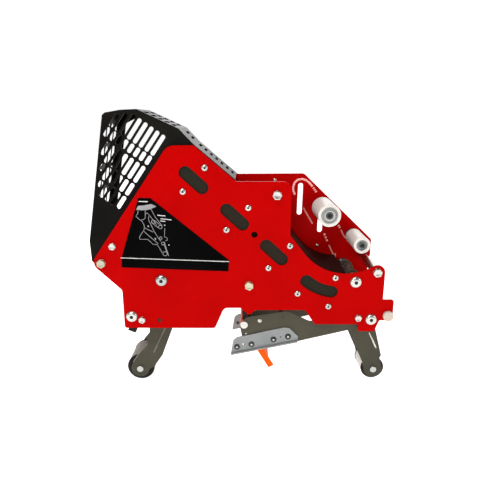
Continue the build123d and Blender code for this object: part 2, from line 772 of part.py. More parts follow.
# ---------------------------------------------------------------- cut-off frame
cutoff_outline = [
    (-7.3, 0.3, 3), (3.0, 15.0, 6), (67.1, 26.1, 16), (103.1, 7.9, 14), (150, 18.0, 20),
    (168, 34.0, 8), (186, 30.0, 8), (186, 2.0, 10), (174.5, -3.4, 8), (84.9, -25.7, 1),
    (1.5, -43.5, 3),
]
guard_shaft_point = at(-0.5, 2.9)
cross_rod_point = at(60.0, 13.0)
rivet_hole_points = [at(2.4, -13.4), at(18.6, -9.3)]
rivet_hole_r = 1.3
slide_screw_points = [at(-11.8, -34.6), at(11.3, -30.0), at(46.2, -21.5), at(69.1, -16.6)]
slide_outline = [
    (-21.6, -45.9, 1), (-17.8, -23.4, 5), (-11.4, -18.5, 6), (62, -1.6, 6), (70.8, -2.1, 5),
    (85, -16.9, 2), (84.2, -23.2, 1),
]
slide_holes = [(at(-1.6, -30.9), 1.9), (at(57.4, -17.5), 1.2)]
slide_foot = [at(-21.6, -45.9), at(84.2, -23.2), at(84.2, -25.2), at(-21.6, -47.9)]
slide_flange = 3.5        # outward run of the folded foot
journal_r = 5.0
journal_step = 0.5        # shoulder behind the cut-off side
journal_ring_w = 2.2

for name, side in SIDES:
    with BuildPart() as cutoff_side:
        with BuildSketch(layer(side, cutoff_inner, cutoff_t)):
            with BuildLine():
                rounded_outline(cutoff_outline)
            make_face()
            with Locations(cutoff_pivot):
                Circle(journal_r + run_fit, mode=Mode.SUBTRACT)
            with Locations(guard_shaft_point):
                Circle(shaft_r + hole_fit, mode=Mode.SUBTRACT)
            with Locations(cross_rod_point):
                Circle(m5_r + hole_fit, mode=Mode.SUBTRACT)
            with Locations(*slide_screw_points[1:]):
                Circle(m5_r + hole_fit, mode=Mode.SUBTRACT)
            with Locations(*rivet_hole_points):
                Circle(rivet_hole_r, mode=Mode.SUBTRACT)
        extrude(amount=cutoff_t)
    cutoff_side.part.label = f"cutoff_side_{name}"
    export_step(cutoff_side.part, f"parts/cutoff_side_{name}.step")

    with BuildPart() as slide_plate:
        with BuildSketch(layer(side, cutoff_outer, slide_t)):
            with BuildLine():
                rounded_outline(slide_outline)
            make_face()
            with Locations(*slide_screw_points):
                Circle(m5_r + hole_fit, mode=Mode.SUBTRACT)
            for point, radius in slide_holes:
                with Locations(point):
                    Circle(radius, mode=Mode.SUBTRACT)
        extrude(amount=slide_t)
        with BuildSketch(layer(side, cutoff_outer, slide_t + slide_flange)):
            with BuildLine():
                Polyline(*slide_foot, close=True)
            make_face()
        extrude(amount=slide_t + slide_flange)
    slide_plate.part.label = f"slide_plate_{name}"
    export_step(slide_plate.part, f"parts/slide_plate_{name}.step")

with BuildPart() as slide_screws:
    seat = cutoff_outer + slide_t
    button_screws(slide_screw_points, m5_head_r, slide_head_h, m5_r, slide_t + cutoff_t, seat)
slide_screws.part.label = "slide_screws"
export_step(slide_screws.part, "parts/slide_screws.step")

with BuildPart() as cutoff_pivot_stubs:
    for _, side in SIDES:
        collar_t = inner_half - cutoff_outer - side_gap / 4
        with BuildSketch(layer(side, inner_half - collar_t, collar_t)):
            with Locations(cutoff_pivot):
                Circle(journal_r + journal_step)
        extrude(amount=collar_t)
        tip = cutoff_inner - side_gap / 4 - ring_t
        with BuildSketch(layer(side, tip, inner_half - tip)):
            with Locations(cutoff_pivot):
                Circle(journal_r)
        extrude(amount=inner_half - tip)
        with BuildSketch(layer(side, tip, ring_t)):
            with Locations(cutoff_pivot):
                Circle(journal_r + journal_ring_w)
        extrude(amount=ring_t)
        with BuildSketch(layer(side, inner_half - pivot_thread, pivot_thread)):
            with Locations(cutoff_pivot):
                Circle(m6_r + hole_fit)
        extrude(amount=pivot_thread, mode=Mode.SUBTRACT)
cutoff_pivot_stubs.part.label = "cutoff_pivot_stubs"
export_step(cutoff_pivot_stubs.part, "parts/cutoff_pivot_stubs.step")

cutoff_wire_r = 0.55
spring_end_gap = 0.3
with BuildPart() as cutoff_springs:
    start = cutoff_outer + spring_end_gap
    end = inner_half - spring_end_gap
    coil_r = journal_r + journal_step + cutoff_wire_r + side_gap
    coil_spring(cutoff_pivot, start, end, coil_r, cutoff_wire_r, 2)
    coil_spring(cutoff_pivot, -end, -start, coil_r, cutoff_wire_r, 2)
cutoff_springs.part.label = "cutoff_springs"
export_step(cutoff_springs.part, "parts/cutoff_springs.step")

guard_head_r, guard_head_h = 5.8, 2.4
with BuildPart() as guard_shaft:
    plane, run = between(-cutoff_outer - guard_head_h, cutoff_outer + guard_head_h)
    with BuildSketch(plane):
        with Locations(guard_shaft_point):
            Circle(shaft_r)
    extrude(amount=run)
    for _, side in SIDES:
        with BuildSketch(layer(side, cutoff_outer, guard_head_h)):
            with Locations(guard_shaft_point):
                Circle(guard_head_r)
        extrude(amount=guard_head_h)
guard_shaft.part.label = "guard_shaft"
export_step(guard_shaft.part, "parts/guard_shaft.step")

cross_rod_r, cross_rod_over = 5.0, 1.2
with BuildPart() as cutoff_rod:
    plane, run = between(-cutoff_inner, cutoff_inner)
    with BuildSketch(plane):
        with Locations(cross_rod_point):
            Circle(cross_rod_r)
    extrude(amount=run)
    plane, run = between(-cutoff_outer - cross_rod_over, cutoff_outer + cross_rod_over)
    with BuildSketch(plane):
        with Locations(cross_rod_point):
            Circle(m5_r)
    extrude(amount=run)
cutoff_rod.part.label = "cutoff_rod"
export_step(cutoff_rod.part, "parts/cutoff_rod.step")

pad_point, pad_size, pad_t = at(0.5, 20.5), (7.2, 20.0), 5.0
with BuildPart() as cutoff_bumpers:
    for _, side in SIDES:
        with BuildSketch(layer(side, cutoff_inner - pad_t, pad_t)):
            with Locations(pad_point):
                Rectangle(*pad_size)
        extrude(amount=pad_t)
cutoff_bumpers.part.label = "cutoff_bumpers"
export_step(cutoff_bumpers.part, "parts/cutoff_bumpers.step")

# ---------------------------------------------------------------- knife and knife guard
lever_tip = at(44.3, -72.5)
lever_len = math.hypot(lever_tip[0] - guard_shaft_point[0], lever_tip[1] - guard_shaft_point[1])
lever_dir = (
    (lever_tip[0] - guard_shaft_point[0]) / lever_len,
    (lever_tip[1] - guard_shaft_point[1]) / lever_len,
)
lever_w = 9.2
lever_t = 1.5
lever_half = 39.0
lever_hub_r = 5.6
lever_back = -lever_w / 2 - 1.0
wall_start = 50.0         # where the two side walls of the lever begin


def on_lever(along, off):
    """A point along the knife guard from its shaft, off its middle line to the right."""
    x = guard_shaft_point[0] + along * lever_dir[0] - off * lever_dir[1]
    return (x, guard_shaft_point[1] + along * lever_dir[1] + off * lever_dir[0])


def lever_panel(along0, along1, off0, off1):
    """Rectangle between two distances along the lever and two off it, in a sketch."""
    corners = [(along0, off0), (along1, off0), (along1, off1), (along0, off1)]
    Polygon(*[on_lever(a, o) for a, o in corners], align=None)


with BuildPart() as knife_guard:
    plane, run = between(-lever_half, lever_half)
    with BuildSketch(plane):
        with Locations(guard_shaft_point):
            Circle(lever_hub_r)
        lever_panel(0, lever_len, lever_back, lever_back + lever_t)
        with Locations(guard_shaft_point):
            Circle(shaft_r + run_fit, mode=Mode.SUBTRACT)
    extrude(amount=run)
    for _, side in SIDES:
        with BuildSketch(layer(side, lever_half - lever_t, lever_t)):
            lever_panel(wall_start, lever_len, lever_back, lever_back + lever_w)
        extrude(amount=lever_t)
knife_guard.part.label = "knife_guard"
export_step(knife_guard.part, "parts/knife_guard.step")

guard_wire_r = 0.4
with BuildPart() as guard_springs:
    start = lever_half + spring_end_gap
    end = cutoff_inner - spring_end_gap
    coil_r = shaft_r + guard_wire_r + side_gap
    coil_spring(guard_shaft_point, start, end, coil_r, guard_wire_r, 1.5)
    coil_spring(guard_shaft_point, -end, -start, coil_r, guard_wire_r, 1.5)
guard_springs.part.label = "guard_springs"
export_step(guard_springs.part, "parts/guard_springs.step")

blade_t = 1.0
holder_t = 3.0
holder_off = 0.6
holder_run = (13.0, 46.0)
blade_run = (24.0, 50.0, 54.0)    # back, roots of the teeth, tips
clamp_run = (28.0, 44.0)
clamp_t = 1.5
with BuildPart() as knife_holder:
    plane, run = between(-cutoff_inner, cutoff_inner)
    with BuildSketch(plane):
        lever_panel(*holder_run, holder_off, holder_off + holder_t)
    extrude(amount=run)
knife_holder.part.label = "knife_holder"
export_step(knife_holder.part, "parts/knife_holder.step")

teeth = 26
tooth = knife_len / teeth
with BuildPart() as knife_blade:
    blade_x, blade_z = on_lever(0, holder_off - blade_t)
    blade_plane = Plane(
        origin=(blade_x, 0, blade_z),
        x_dir=(lever_dir[0], 0, lever_dir[1]),
        z_dir=(-lever_dir[1], 0, lever_dir[0]),
    )
    with BuildSketch(blade_plane):
        heel, root, tip = blade_run
        points = [(heel, -knife_len / 2), (root, -knife_len / 2)]
        for i in range(teeth):
            points += [(tip, -knife_len / 2 + tooth * (i + 0.5))]
            points += [(root, -knife_len / 2 + tooth * (i + 1))]
        points += [(heel, knife_len / 2)]
        with BuildLine():
            Polyline(*points, close=True)
        make_face()
    extrude(amount=blade_t)
knife_blade.part.label = "knife_blade"
export_step(knife_blade.part, "parts/knife_blade.step")

with BuildPart() as knife_clamp:
    plane, run = between(-knife_len / 2, knife_len / 2)
    with BuildSketch(plane):
        lever_panel(*clamp_run, holder_off - blade_t - clamp_t, holder_off - blade_t)
    extrude(amount=run)
knife_clamp.part.label = "knife_clamp"
export_step(knife_clamp.part, "parts/knife_clamp.step")
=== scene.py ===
"""Taping head of a carton sealer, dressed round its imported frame."""

import json
import logging
import math
from collections.abc import Iterable, Iterator, Sequence
from contextlib import contextmanager
from dataclasses import dataclass, field
from enum import Enum

import bmesh
import bpy
import numpy as np
from mathutils import Matrix, Vector


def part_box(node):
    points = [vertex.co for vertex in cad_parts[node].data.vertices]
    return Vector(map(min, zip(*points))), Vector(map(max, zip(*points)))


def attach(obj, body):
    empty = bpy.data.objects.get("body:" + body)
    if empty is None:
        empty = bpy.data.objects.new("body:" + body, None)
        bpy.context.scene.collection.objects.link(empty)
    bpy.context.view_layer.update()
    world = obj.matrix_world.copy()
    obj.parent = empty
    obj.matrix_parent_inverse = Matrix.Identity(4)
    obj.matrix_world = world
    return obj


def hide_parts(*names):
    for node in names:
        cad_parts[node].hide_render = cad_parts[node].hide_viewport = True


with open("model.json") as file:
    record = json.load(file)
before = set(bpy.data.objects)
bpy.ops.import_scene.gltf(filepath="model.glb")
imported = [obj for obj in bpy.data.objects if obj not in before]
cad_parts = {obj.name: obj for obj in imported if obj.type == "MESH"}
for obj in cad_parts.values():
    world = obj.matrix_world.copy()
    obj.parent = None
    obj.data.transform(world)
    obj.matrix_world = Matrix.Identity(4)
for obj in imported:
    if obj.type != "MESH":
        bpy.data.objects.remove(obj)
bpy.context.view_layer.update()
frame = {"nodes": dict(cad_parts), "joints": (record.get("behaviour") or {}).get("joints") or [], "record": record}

LOG = logging.getLogger("taping_head")
MM = 0.001
Point = tuple[float, float]
Colour = tuple[float, float, float]
Box = tuple[Vector, Vector]
Piece = bpy.types.Object
Socket = bpy.types.NodeSocket


class Side(Enum):
    """The two sides of the head, as the sign of Y."""

    NEAR = -1
    FAR = 1


class Grain(Enum):
    """How the grain of a finish runs."""

    EVEN = "even"
    BRUSHED = "brushed"


# ------------------------------------------------------------------ finishes
RISING, FALLING = (0.0, 1.0), (1.0, 0.0)
PATCH_RANGE = (0.35, 0.75)
GRAIN_RANGE = (0.42, 0.72)
GRAIN_SHARE = 0.25
NOISE_OCTAVES = 4.0
BRUSH_STRETCH = (0.12, 1.0, 1.0)
EDGE_BAND = 0.6 * MM
EDGE_RANGE = (0.80, 0.99)
EDGE_SAMPLES = 6
COAT_ROUGHNESS = 0.08
GRAIN_HEIGHT = 0.1 * MM


def grey(value: float) -> Colour:
    """A neutral colour."""
    return (value, value, value)


class NodeTree:
    """A node tree, with the few nodes that the finishes and the room share."""

    def __init__(self, tree: bpy.types.NodeTree) -> None:
        """Start with the tree's texture coordinates.

        Args:
            tree: The tree of a material or of the world.
        """
        self.nodes, self.links = tree.nodes, tree.links
        self.coords = self.nodes.new("ShaderNodeTexCoord")

    def join(self, source: Socket, target: Socket) -> None:
        """Link one socket to another."""
        self.links.new(source, target)

    def spread(self, value: Socket, source: Point, target: Point, smooth: bool = True) -> Socket:
        """A value carried over from one range to another.

        Args:
            value: The value.
            source: Where it starts and where it ends.
            target: What it becomes at those two.
            smooth: Whether it eases in and out.

        Returns:
            The new value.
        """
        node = self.nodes.new("ShaderNodeMapRange")
        node.interpolation_type = "SMOOTHSTEP" if smooth else "LINEAR"
        ends = ("From Min", "From Max", "To Min", "To Max")
        for name, number in zip(ends, (*source, *target)):
            node.inputs[name].default_value = number
        self.join(value, node.inputs["Value"])
        return node.outputs["Result"]

    def times(self, value: Socket, other: Socket | float) -> Socket:
        """The product of a value and another value or number."""
        product = self.nodes.new("ShaderNodeMath")
        product.operation = "MULTIPLY"
        self.join(value, product.inputs[0])
        if isinstance(other, float):
            product.inputs[1].default_value = other
        else:
            self.join(other, product.inputs[1])
        return product.outputs[0]


class Shader(NodeTree):
    """Node tree of one material."""

    def __init__(self, name: str) -> None:
        """Start a material with its principled shader.

        Args:
            name: Name of the material.
        """
        self.material = bpy.data.materials.new(name)
        self.material.use_nodes = True
        super().__init__(self.material.node_tree)
        self.principled = self.nodes["Principled BSDF"]

    def mapped(self, scale: Sequence[float]) -> Socket:
        """Object coordinates stretched by a scale.

        Args:
            scale: Factor along X, Y and Z.

        Returns:
            The mapping node's vector output.
        """
        mapping = self.nodes.new("ShaderNodeMapping")
        mapping.inputs["Scale"].default_value = scale
        self.join(self.coords.outputs["Object"], mapping.inputs["Vector"])
        return mapping.outputs["Vector"]

    def noise(
        self, scale: float, detail: float = 3.0, stretch: Sequence[float] = (1, 1, 1)
    ) -> Socket:
        """Noise over the surface.

        Args:
            scale: Cells per metre.
            detail: Octaves of finer noise.
            stretch: Extra factor along X, Y and Z.

        Returns:
            The noise value, about 0.5 on average.
        """
        texture = self.nodes.new("ShaderNodeTexNoise")
        texture.inputs["Scale"].default_value = scale
        texture.inputs["Detail"].default_value = detail
        self.join(self.mapped(stretch), texture.inputs["Vector"])
        return texture.outputs["Fac"]

    def mix(self, amount: Socket, base: Socket | Colour, over: Colour) -> Socket:
        """A colour laid over another.

        Args:
            amount: How much of the upper colour shows, from 0 to 1.
            base: The lower colour, as a socket or as red, green and blue.
            over: The upper colour.

        Returns:
            The mixed colour.
        """
        blend = self.nodes.new("ShaderNodeMix")
        blend.data_type = "RGBA"
        self.join(amount, blend.inputs["Factor"])
        if isinstance(base, Socket):
            self.join(base, blend.inputs[6])
        else:
            blend.inputs[6].default_value = (*base, 1.0)
        blend.inputs[7].default_value = (*over, 1.0)
        return blend.outputs[2]

    def edges(self, radius: float) -> Socket:
        """How near the surface is to a sharp edge, from 0 to 1.

        Args:
            radius: Width of the band along the edge, in metres.

        Returns:
            A value that is 1 on the edge and 0 away from it.
        """
        bevel = self.nodes.new("ShaderNodeBevel")
        bevel.samples = EDGE_SAMPLES
        bevel.inputs["Radius"].default_value = radius
        geometry = self.nodes.new("ShaderNodeNewGeometry")
        dot = self.nodes.new("ShaderNodeVectorMath")
        dot.operation = "DOT_PRODUCT"
        self.join(bevel.outputs["Normal"], dot.inputs[0])
        self.join(geometry.outputs["True Normal"], dot.inputs[1])
        return self.spread(dot.outputs["Value"], EDGE_RANGE, FALLING)

    def bump(self, height: Socket, strength: float, distance: float) -> None:
        """Raise the surface by a height.

        Args:
            height: The height, from 0 to 1.
            strength: How much of it shows.
            distance: Height of a value of 1, in metres.
        """
        bump = self.nodes.new("ShaderNodeBump")
        bump.inputs["Strength"].default_value = strength
        bump.inputs["Distance"].default_value = distance
        self.join(height, bump.inputs["Height"])
        self.join(bump.outputs["Normal"], self.principled.inputs["Normal"])


@dataclass(frozen=True)
class Finish:
    """One surface finish: its colour, how it varies, and its edge colour, which is partly wear and partly a
    painted highlight.
    """

    name: str
    colour: Colour
    shade: Colour
    # edge: colour along sharp edges, partly wear and partly a painted highlight
    edge: Colour
    roughness: tuple[float, float]
    metallic: float = 0.0
    specular: float = 0.5
    coat: float = 0.0
    lay: Grain = Grain.EVEN
    grain: float = 900.0
    relief: float = 0.15
    edge_wear_and_highlight: float = 0.35
    patch: float = 14.0
    transmission: float = 0.0

    def build(self) -> bpy.types.Material:
        """Make the material.

        Returns:
            The finished material.
        """
        shader = Shader(self.name)
        socket = shader.principled.inputs
        stretch = BRUSH_STRETCH if self.lay is Grain.BRUSHED else grey(1.0)
        patches = shader.noise(self.patch, NOISE_OCTAVES)
        patches = shader.spread(patches, PATCH_RANGE, RISING)
        colour = shader.mix(patches, self.colour, self.shade)
        grain = shader.noise(self.grain, NOISE_OCTAVES, stretch)
        fine = shader.spread(grain, GRAIN_RANGE, RISING)
        colour = shader.mix(shader.times(fine, GRAIN_SHARE), colour, self.shade)
        # Edge band from the bevel mask: partly wear, partly a painted highlight along sharp edges.
        if self.edge_wear_and_highlight > 0.0:
            worn_and_highlit_edge = shader.times(shader.edges(EDGE_BAND), self.edge_wear_and_highlight)
            colour = shader.mix(worn_and_highlit_edge, colour, self.edge)
        shader.join(colour, socket["Base Color"])
        roughness = shader.spread(grain, RISING, self.roughness, smooth=False)
        shader.join(roughness, socket["Roughness"])
        socket["Metallic"].default_value = self.metallic
        socket["Specular IOR Level"].default_value = self.specular
        socket["Coat Weight"].default_value = self.coat
        socket["Coat Roughness"].default_value = COAT_ROUGHNESS
        socket["Transmission Weight"].default_value = self.transmission
        shader.bump(grain, self.relief, GRAIN_HEIGHT)
        return shader.material


# Each finish: colour, tone of its random patches, edge colour (partly wear, partly a painted highlight), roughness
# range.
FINISHES = (
    Finish("red_paint", (0.41, 0.0003, 0.0003), (0.365, 0.0003, 0.0003), (0.30, 0.002, 0.002),
           (0.24, 0.36), specular=0.015, grain=650.0, relief=0.10, edge_wear_and_highlight=0.55),
    Finish("olive_paint", (0.058, 0.053, 0.034), (0.043, 0.039, 0.025), (0.16, 0.15, 0.11),
           (0.42, 0.60), specular=0.20, grain=1500.0, relief=0.22, edge_wear_and_highlight=0.45),
    Finish("black_paint", (0.0035, 0.003, 0.0025), (0.009, 0.008, 0.006), (0.05, 0.045, 0.04),
           (0.30, 0.44), specular=0.04, grain=1400.0, relief=0.20, edge_wear_and_highlight=0.30),
    Finish("zinc", (0.56, 0.54, 0.50), (0.36, 0.38, 0.36), (0.80, 0.78, 0.74),
           (0.16, 0.34), metallic=1.0, lay=Grain.BRUSHED, grain=1800.0, relief=0.12),
    Finish("dark_steel", grey(0.12), grey(0.06), grey(0.30),
           (0.32, 0.5), metallic=0.8, lay=Grain.BRUSHED, grain=1600.0),
    Finish("spring_steel", grey(0.40), grey(0.26), grey(0.55),
           (0.26, 0.4), metallic=0.9, grain=2400.0),
    Finish("slide_zinc", (0.23, 0.245, 0.24), (0.17, 0.185, 0.18), (0.60, 0.62, 0.60),
           (0.36, 0.52), metallic=0.55, lay=Grain.BRUSHED, grain=1200.0, edge_wear_and_highlight=0.6),
    Finish("blade_steel", (0.55, 0.56, 0.58), (0.40, 0.41, 0.43), (0.80, 0.80, 0.82),
           (0.16, 0.3), metallic=1.0, lay=Grain.BRUSHED, grain=1500.0),
    Finish("black_screw", grey(0.012), grey(0.03), grey(0.12),
           (0.34, 0.5), metallic=0.3, grain=2600.0),
    Finish("white_plastic", (0.68, 0.64, 0.59), (0.58, 0.54, 0.50), (0.80, 0.75, 0.71),
           (0.34, 0.48), specular=0.45, grain=1100.0, relief=0.10),
    Finish("grey_alloy", (0.36, 0.37, 0.35), (0.26, 0.27, 0.25), (0.66, 0.66, 0.64),
           (0.34, 0.5), metallic=0.7, lay=Grain.BRUSHED, grain=1500.0, edge_wear_and_highlight=0.6),
    Finish("bronze", (0.45, 0.32, 0.15), (0.36, 0.25, 0.12), (0.60, 0.46, 0.26),
           (0.30, 0.45), metallic=0.9, grain=2200.0),
    Finish("rubber", grey(0.012), (0.022, 0.021, 0.02), grey(0.04),
           (0.62, 0.82), specular=0.08, grain=1300.0, relief=0.3, edge_wear_and_highlight=0.2),
    Finish("grey_rubber", (0.33, 0.29, 0.25), (0.24, 0.21, 0.18), (0.42, 0.38, 0.34),
           (0.5, 0.7), specular=0.3, grain=1100.0, relief=0.25, edge_wear_and_highlight=0.2),
    Finish("orange_plastic", (0.95, 0.10, 0.001), (0.84, 0.08, 0.001), (1.0, 0.18, 0.01),
           (0.36, 0.5), specular=0.06, grain=1200.0, relief=0.12),
    Finish("label_film", grey(0.001), grey(0.002), (0.05, 0.01, 0.01),
           (0.22, 0.32), specular=0.01, grain=1500.0, relief=0.06),
    Finish("clear_nylon", (0.74, 0.66, 0.58), (0.86, 0.62, 0.46), (0.92, 0.88, 0.84),
           (0.16, 0.26), specular=0.5, coat=0.4, grain=600.0,
           patch=70.0, transmission=0.35),
    # Near-black copy of the olive paint: painted shade for the guide brackets that sit behind the slots.
    Finish("bracket_shade_olive", (0.014, 0.014, 0.008), (0.022, 0.012, 0.008), (0.05, 0.05, 0.04),
           (0.45, 0.62), specular=0.08, grain=1500.0, relief=0.22, edge_wear_and_highlight=0.2),
    # Lighter olives for the beads on the arms: painted highlight along the pressed beads.
    Finish("bead_highlight_olive", (0.17, 0.165, 0.13), (0.12, 0.115, 0.09), (0.3, 0.29, 0.24),
           (0.35, 0.5), specular=0.3, grain=1500.0, relief=0.15, edge_wear_and_highlight=0.4),
    Finish("bead_highlight_pale", (0.70, 0.66, 0.58), (0.58, 0.54, 0.46), (0.8, 0.76, 0.7),
           (0.35, 0.5), specular=0.3, grain=1500.0, relief=0.15, edge_wear_and_highlight=0.4),
    Finish("label_ink", (0.62, 0.62, 0.60), (0.52, 0.52, 0.50), (0.62, 0.62, 0.60),
           (0.4, 0.5), edge_wear_and_highlight=0.0, relief=0.05),
    Finish("label_grey_ink", (0.27, 0.26, 0.27), (0.23, 0.22, 0.23), (0.27, 0.26, 0.27),
           (0.4, 0.5), edge_wear_and_highlight=0.0, relief=0.05),
    Finish("pink_ink", (0.72, 0.26, 0.23), (0.60, 0.20, 0.18), (0.72, 0.26, 0.23),
           (0.4, 0.5), edge_wear_and_highlight=0.0, relief=0.05),
    Finish("pale_pink_ink", (0.95, 0.44, 0.39), (0.88, 0.36, 0.32), (0.95, 0.44, 0.39),
           (0.4, 0.5), edge_wear_and_highlight=0.0, relief=0.05),
    Finish("yellow_zinc", (0.50, 0.45, 0.31), (0.34, 0.34, 0.26), (0.90, 0.84, 0.66),
           (0.22, 0.38), metallic=0.9, lay=Grain.BRUSHED, grain=1800.0, relief=0.12),
    # Near-black for the insides of screw sockets and roller bores: painted shade in the recesses.
    Finish("recess_shade_black", grey(0.02), grey(0.01), grey(0.04),
           (0.5, 0.7), metallic=0.4, grain=2000.0, edge_wear_and_highlight=0.0),
)
SLOTS = {material["slot"] for material in frame["record"]["materials"]}
# The guide brackets take the near-black olive, a painted shade for their place behind the slots.
NODE_FINISHES = {
    "guide_brackets_near": "bracket_shade_olive",
    "guide_brackets_far": "bracket_shade_olive",
}


class Paintshop:
    """Every finish as a material, ready to put on a piece."""

    def __init__(self) -> None:
        """Build every finish once."""
        self.materials = {finish.name: finish.build() for finish in FINISHES}

    def paint(self, piece: Piece, finish: str) -> None:
        """Give a piece one finish all over.

        Args:
            piece: The piece.
            finish: Name of the finish.
        """
        piece.data.materials.clear()
        piece.data.materials.append(self.materials[finish])

    def paint_nodes(self) -> None:
        """Give every CAD node its own finish, or that of its slot in the record."""
        for part in frame["record"]["subparts"]:
            node = frame["nodes"][part["node"]]
            self.paint(node, NODE_FINISHES.get(part["node"], part["material_slot"]))


# ------------------------------------------------------------------ the workbench
def deselect() -> None:
    """Leave nothing selected, in object mode."""
    if bpy.context.object and bpy.context.object.mode != "OBJECT":
        bpy.ops.object.mode_set(mode="OBJECT")
    bpy.ops.object.select_all(action="DESELECT")


def only(piece: Piece) -> None:
    """Select one piece and make it the active one."""
    deselect()
    piece.select_set(True)
    bpy.context.view_layer.objects.active = piece


@contextmanager
def editing(piece: Piece) -> Iterator[None]:
    """Edit mode with all of a piece selected, and object mode after it.

    Args:
        piece: The piece.
    """
    only(piece)
    bpy.ops.object.mode_set(mode="EDIT")
    bpy.ops.mesh.select_all(action="SELECT")
    yield
    bpy.ops.object.mode_set(mode="OBJECT")


def face_outwards() -> None:
    """Turn every face of the piece in edit mode outwards."""
    bpy.ops.mesh.select_all(action="SELECT")
    bpy.ops.mesh.normals_make_consistent(inside=False)


def settle(piece: Piece, name: str) -> Piece:
    """Apply a piece's place to its mesh and name it.

    Args:
        piece: The piece.
        name: Its name.

    Returns:
        The same piece.
    """
    only(piece)
    bpy.ops.object.transform_apply(location=True, rotation=True, scale=True)
    piece.name = name
    piece.data.name = name
    return piece


def soften(piece: Piece, width: float, segments: int = 2, angle: float = 35.0) -> None:
    """Round a piece's sharp edges and shade it smooth.

    Args:
        piece: The piece.
        width: Width of the rounding, in metres.
        segments: Faces across it.
        angle: Least turn of an edge that counts as sharp, in degrees.
    """
    only(piece)
    bevel = piece.modifiers.new("rounding", "BEVEL")
    bevel.width = width
    bevel.segments = segments
    bevel.limit_method = "ANGLE"
    bevel.angle_limit = math.radians(angle)
    bevel.use_clamp_overlap = True
    bpy.ops.object.modifier_apply(modifier=bevel.name)
    bpy.ops.object.shade_smooth_by_angle(angle=math.radians(angle))


def turned(name: str, centre: Point, profile: Sequence[Point], sides: int = 56) -> Piece:
    """A solid turned about an axis along Y.

    Args:
        name: Name of the piece.
        centre: X and Z of the axis, in metres.
        profile: Y and radius of each step, from one end to the other.
        sides: Faces round the axis.

    Returns:
        The closed solid.
    """
    deselect()
    (y, radius), *steps = profile
    x, z = centre
    bpy.ops.mesh.primitive_circle_add(
        vertices=sides, radius=radius, fill_type="NGON",
        location=(x, y, z), rotation=(math.pi / 2, 0, 0),
    )
    piece = settle(bpy.context.object, name)
    with editing(piece):
        for next_y, next_radius in steps:
            bpy.ops.mesh.extrude_region_move(
                TRANSFORM_OT_translate={"value": (0, next_y - y, 0)}
            )
            if next_radius != radius:
                factor = next_radius / radius
                bpy.ops.transform.resize(
                    value=(factor, 1, factor), center_override=(x, next_y, z)
                )
            y, radius = next_y, next_radius
        face_outwards()
    return piece


def stepped(face: float, outward: int, unit: float, steps: Iterable[Point]) -> list[Point]:
    """The profile of a turned solid, given from its face.

    Args:
        face: Y of the face, in metres.
        outward: Sign of Y that the face looks to.
        unit: Radius that the steps share, in metres.
        steps: Depth under the face in millimetres, and radius as a share of the unit.

    Returns:
        Y and radius of each step, in metres.
    """
    return [(face - outward * depth * MM, unit * share) for depth, share in steps]


def joined(pieces: Sequence[Piece], name: str) -> Piece:
    """Several pieces made one.

    Args:
        pieces: The pieces.
        name: Name of the result.

    Returns:
        The joined piece.
    """
    deselect()
    for piece in pieces:
        piece.select_set(True)
    bpy.context.view_layer.objects.active = pieces[0]
    if len(pieces) > 1:
        bpy.ops.object.join()
    return settle(bpy.context.object, name)


def cut(piece: Piece, tool: Piece) -> None:
    """Cut one solid out of another and throw the tool away.

    Args:
        piece: The solid that is cut.
        tool: The solid that is taken out of it.
    """
    only(piece)
    boolean = piece.modifiers.new("cut", "BOOLEAN")
    boolean.operation = "DIFFERENCE"
    boolean.object = tool
    bpy.ops.object.modifier_apply(modifier=boolean.name)
    bpy.data.objects.remove(tool)


MERGE_DISTANCE = 1e-6


def solids(node: str) -> list[Box]:
    """The box of each separate solid of a CAD node.

    Args:
        node: Name of the node.

    Returns:
        Lowest and highest corner of each solid, in metres.
    """
    mesh = bmesh.new()
    mesh.from_mesh(frame["nodes"][node].data)
    bmesh.ops.remove_doubles(mesh, verts=mesh.verts, dist=MERGE_DISTANCE)
    boxes = []
    left = set(mesh.verts)
    while left:
        island, edge = set(), {left.pop()}
        while edge:
            island |= edge
            edge = {e.other_vert(v) for v in edge for e in v.link_edges} - island
        left -= island
        places = np.array([vert.co for vert in island])
        boxes.append((Vector(places.min(0)), Vector(places.max(0))))
    mesh.free()
    return sorted(boxes, key=lambda box: (round(box[0].y, 3), round(box[0].x, 3)))


def centre_of(box: Box) -> Point:
    """X and Z of a box's middle."""
    middle = (box[0] + box[1]) / 2
    return (middle.x, middle.z)


def faces_of(box: Box) -> tuple[int, float, float]:
    """Which way a solid at one side of the head looks.

    Args:
        box: Its lowest and highest corner.

    Returns:
        The sign of Y that it looks to, and Y of its outer and of its inner face.
    """
    low, high = box[0].y, box[1].y
    return (-1, low, high) if low + high < 0 else (1, high, low)


def radius_of(box: Box) -> float:
    """Radius of a solid that is round about Y."""
    return (box[1].z - box[0].z) / 2


def joint_point(name: str) -> Point:
    """X and Z of a joint's axis, in metres."""
    joint = next(j for j in frame["joints"] if j["name"] == name)
    return (joint["pos_m"][0], joint["pos_m"][2])


